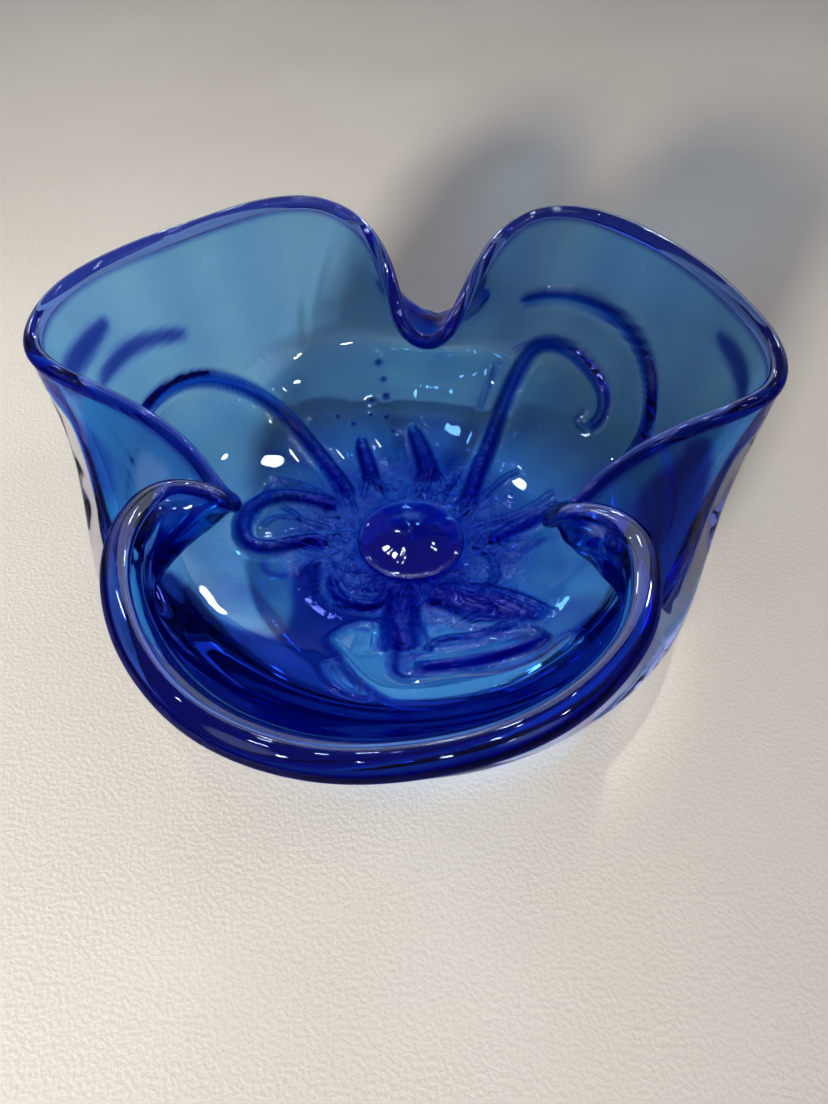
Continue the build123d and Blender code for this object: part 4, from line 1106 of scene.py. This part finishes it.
def bead(rows=28, count=56):
    """A ball in the wall at the front left, its axis level and pointing out."""
    outward = BEAD_AT * (1, 1, 0)
    outward /= np.linalg.norm(outward)
    across = np.cross(outward, [0, 0, 1.0])
    upright = np.cross(across, outward)
    latitudes = np.linspace(0, math.pi, rows + 1)[1:-1]
    angles = np.linspace(0, 2 * math.pi, count, endpoint=False)[:, None]
    circle = np.cos(angles) * across + np.sin(angles) * upright
    rings = [BEAD_AT + BEAD_R * (math.cos(t) * outward + math.sin(t) * circle) for t in latitudes]
    air = np.where(latitudes[:-1] < math.radians(100), 1.0, 0.0)
    return make_solid("nipped_bead", rings, LIP, air,
                      poles=[BEAD_AT + BEAD_R * outward, BEAD_AT - BEAD_R * outward],
                      pole_air=(1, 0), ink=np.full((len(rings), count), 0.6))


DENSE_CORDS = {name: resample(rows, per_mm=2, extra=2)[0] for name, rows in CORDS.items()}
# object, the CAD node it replaces, its material slot
PIECES = [
    (casing(), "clear_casing", "clear_glass"),
    (lining(), "blue_lining", "blue_glass"),
    (lip(), "lip_wrap", "cobalt_glass"),
    (button(), "bottom_button", "cobalt_glass"),
    (pad(), "punty_pad", "clear_glass"),
    (bead(), "notch_bead", "cobalt_glass"),
]
PIECES += [(cord(name, rows), name, "cobalt_glass") for name, rows in DENSE_CORDS.items()]
for piece, node_name, slot_name in PIECES:
    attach(piece, "root")
    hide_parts(node_name)


# ------------------------------------------------------------------- floor
FLOOR_HALF, FLOOR_DROP = 2.2, 0.00015      # metres; the floor lies just under the foot


def floor_material():
    material = bpy.data.materials.new("pale_cloth_floor")
    shader = Shader(material)
    position = shader.node("TexCoord").outputs["Object"]
    colour = shader.ramp(shader.noise(position, Scale=5.0, Detail=3.0),
                         (0.3, (0.60, 0.56, 0.50)), (0.7, (0.68, 0.64, 0.58)))
    weave = shader.noise(position, Scale=900.0, Detail=3.0)
    normal = shader.bump(Strength=0.25, Distance=0.0006, Height=weave)
    cloth = shader.node("BsdfPrincipled", Base_Color=colour, Roughness=0.95,
                        Specular_IOR_Level=0.1, Normal=normal)
    shader.node("OutputMaterial", Surface=cloth.outputs[0])
    return material


def make_floor():
    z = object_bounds()[0].z - FLOOR_DROP
    mesh = bpy.data.meshes.new("floor")
    corners = [(-1, -1), (1, -1), (1, 1), (-1, 1)]
    mesh.from_pydata([(x * FLOOR_HALF, y * FLOOR_HALF, z) for x, y in corners], [], [(0, 1, 2, 3)])
    mesh.materials.append(floor_material())
    floor = bpy.data.objects.new("floor", mesh)
    bpy.context.scene.collection.objects.link(floor)


make_floor()


# ------------------------------------------------------ lamps (metres, watts)
def hang(light, at, aim, mirrored):
    """Place a lamp; one that isn't mirrored lights things but isn't seen in the glass."""
    lamp = bpy.data.objects.new(light.name, light)
    lamp.location = at
    lamp.rotation_euler = (Vector(aim) - Vector(at)).to_track_quat("-Z", "Y").to_euler()
    bpy.context.scene.collection.objects.link(lamp)
    if not mirrored:
        lamp.visible_glossy = False
        lamp.visible_transmission = False
    return lamp


def area(name, at, aim, size, power, colour, size_y=None, spread=None, mirrored=False):
    light = bpy.data.lights.new(name, "AREA")
    light.shape = "RECTANGLE"
    light.size = size
    light.size_y = size_y or size
    light.energy = power
    light.color = colour
    if spread:
        light.spread = math.radians(spread)
    return hang(light, at, aim, mirrored)


def beam(name, at, aim, power, degrees, colour, blend):
    """A narrow pool of light."""
    light = bpy.data.lights.new(name, "SPOT")
    light.energy = power
    light.spot_size = math.radians(degrees)
    light.spot_blend = blend
    light.shadow_soft_size = 0.02
    light.color = colour
    hang(light, at, aim, mirrored=False)


area("softbox", at=(-0.12, -0.60, 0.80), aim=(-0.02, -0.16, 0.0), size=0.6, power=0.7,
     colour=(1.0, 0.985, 0.965))
area("low_lamp", at=(-0.47, -1.00, 0.43), aim=(-0.19, 0.28, 0.0), size=0.18, size_y=0.13,
     power=4.6, colour=(1.0, 0.985, 0.96), spread=64)
area("side_lamp", at=(0.75, 0.10, 0.36), aim=(0, 0, 0.04), size=0.22, size_y=0.20, power=1.8,
     colour=(1.0, 0.98, 0.96))
# seen only as a reflection
panel = area("mirror_panel", at=(0, 0.0, 0.176), aim=(0, -0.088, 0.145), size=0.16, size_y=0.10,
             power=0.11, colour=(0.80, 0.90, 1.0), mirrored=True)
panel.visible_camera = False
panel.visible_diffuse = False
panel.visible_transmission = False
panel.data.use_shadow = False

beam("down_glow", at=(-0.03, -0.10, 1.25), aim=(0.004, 0.0, 0.0), power=82.0, degrees=7.8,
     colour=(1.0, 0.99, 0.98), blend=0.9)
beam("back_glow", at=(0.0, 0.10, 1.30), aim=(-0.002, 0.082, 0.0), power=28.0, degrees=5.2,
     colour=(0.92, 0.97, 1.0), blend=1.0)
beam("front_glint", at=(0.02, -0.55, 0.60), aim=(0.012, -0.1185, 0.0), power=4.0, degrees=2.0,
     colour=(0.50, 0.72, 1.0), blend=1.0)
# small lamps mirrored as sparks: name, place, size, power, colour
for spark_name, spark_at, spark_size, spark_power, spark_colour in (
        ("lamp_right", (0.80, -0.70, 1.05), 0.045, 0.4, (1.0, 0.97, 0.93)),
        ("lamp_left", (-0.50, -0.30, 1.10), 0.04, 0.35, (1.0, 0.98, 0.95)),
        ("lamp_top", (0.06, 0.10, 1.30), 0.04, 0.35, (0.95, 0.98, 1.0))):
    area(spark_name, at=spark_at, aim=(0, 0, 0.03), size=spark_size, power=spark_power,
         colour=spark_colour, mirrored=True)

# ------------------------------------------------------------------- world
# Far lamps: azimuth from +X, elevation and half width in degrees, then strength.
FAR_LAMPS = [
    (96, 72, 1.9, 52), (112, 58, 1.5, 69), (64, 60, 1.5, 62), (140, 68, 1.5, 58),
    (38, 52, 1.3, 58), (160, 46, 1.1, 78), (18, 66, 0.8, 93), (200, 60, 1.3, 78),
    (230, 48, 1.7, 67), (265, 62, 1.3, 83), (300, 50, 1.7, 67), (335, 62, 1.3, 83),
    (350, 42, 1.5, 72), (88, 40, 1.5, 58), (126, 36, 1.8, 52), (56, 34, 1.8, 52),
    (180, 80, 1.3, 78), (75, 26, 2.1, 48), (105, 24, 1.8, 48),
]


def make_world():
    """A dim studio, with a band behind the bowl and far lamps that only the glass shows."""
    world = bpy.data.worlds.new("studio")
    bpy.context.scene.world = world
    shader = Shader(world)
    direction = shader.node("TexCoord").outputs["Generated"]
    split = shader.node("SeparateXYZ", Vector=direction).outputs
    room_colour = shader.ramp(split["Z"], (0.0, (0.14, 0.14, 0.17)), (0.9, (0.19, 0.20, 0.25)))
    room = shader.node("Background", Color=room_colour, Strength=0.68)
    rays = shader.node("LightPath").outputs
    glossy = rays["Is Glossy Ray"]

    def spot(azimuth, elevation, outer, inner, power):
        """Light about a direction, fading between two half widths in degrees."""
        bearing, pitch = math.radians(azimuth), math.radians(elevation)
        dot = shader.node("VectorMath", {"operation": "DOT_PRODUCT"})
        shader.feed(dot.inputs[0], direction)
        dot.inputs[1].default_value = (math.cos(bearing) * math.cos(pitch),
                                       math.sin(bearing) * math.cos(pitch), math.sin(pitch))
        cosines = (math.cos(math.radians(outer)), math.cos(math.radians(inner)))
        return shader.fade(dot.outputs["Value"], over=cosines, to=(0.0, power))

    def elevations(low, high):
        return math.sin(math.radians(low)), math.sin(math.radians(high))

    bottom = shader.fade(split["Z"], over=elevations(1, 9), to=(0.0, 1.0))
    top = shader.fade(split["Z"], over=elevations(24, 37), to=(1.0, 0.0))
    height = shader.math("MULTIPLY", bottom, top)
    behind = shader.math("MULTIPLY", height,
                         shader.fade(split["Y"], over=(0.50, 0.85), to=(0.0, 1.0)))
    band_strength = 2.0
    band = shader.math("MULTIPLY", shader.math("MULTIPLY", behind, glossy), band_strength)
    lamps = None
    for azimuth, elevation, half, power in FAR_LAMPS:
        lamp = spot(azimuth, elevation, outer=half * 1.15, inner=half * 0.8, power=float(power))
        lamps = lamp if lamps is None else shader.math("ADD", lamps, lamp)
    boxes = shader.math("ADD", spot(212, 42, outer=15, inner=9, power=1.3),
                        spot(328, 34, outer=14, inner=7, power=1.2))
    band = shader.math("ADD", band, shader.math("MULTIPLY", boxes, glossy))
    in_glass = shader.math("MAXIMUM", glossy, rays["Is Transmission Ray"])
    lamps = shader.math("MULTIPLY", lamps, in_glass)
    extra = shader.node("Background", Color=(0.80, 0.94, 1.0, 1),
                        Strength=shader.math("ADD", band, lamps))
    shader.node("OutputWorld",
                Surface=shader.join("AddShader", room.outputs[0], extra.outputs[0]))


make_world()

# --------------------------------------------------------- camera, rendering
camera_data = bpy.data.cameras.new("photo_view")
camera = bpy.data.objects.new("photo_view", camera_data)
camera_data.sensor_fit = "AUTO"
camera_data.sensor_width = 36.0
camera_data.lens = 27.065217
camera_data.clip_start = 0.005
camera_data.clip_end = 20
camera.location = (0.000958, -0.157308, 0.208129)
camera.rotation_euler = (math.radians(40.0), 0, 0)
bpy.context.scene.collection.objects.link(camera)
bpy.context.scene.camera = camera

view = bpy.context.scene.view_settings
view.view_transform = "Standard"
view.look = "None"
view.exposure = 0.0
view.gamma = 1.0
cycles = bpy.context.scene.cycles
cycles.max_bounces = 26
cycles.diffuse_bounces = 3
cycles.glossy_bounces = 10
cycles.transmission_bounces = 24
cycles.transparent_max_bounces = 48
cycles.volume_bounces = 0
cycles.caustics_reflective = False
cycles.caustics_refractive = False
cycles.blur_glossy = 0.0
cycles.sample_clamp_indirect = 18.0
cycles.sample_clamp_direct = 0.0
cycles.use_denoising = True
cycles.denoiser = "OPENIMAGEDENOISE"
cycles.denoising_input_passes = "RGB_ALBEDO_NORMAL"
cycles.seed = 7
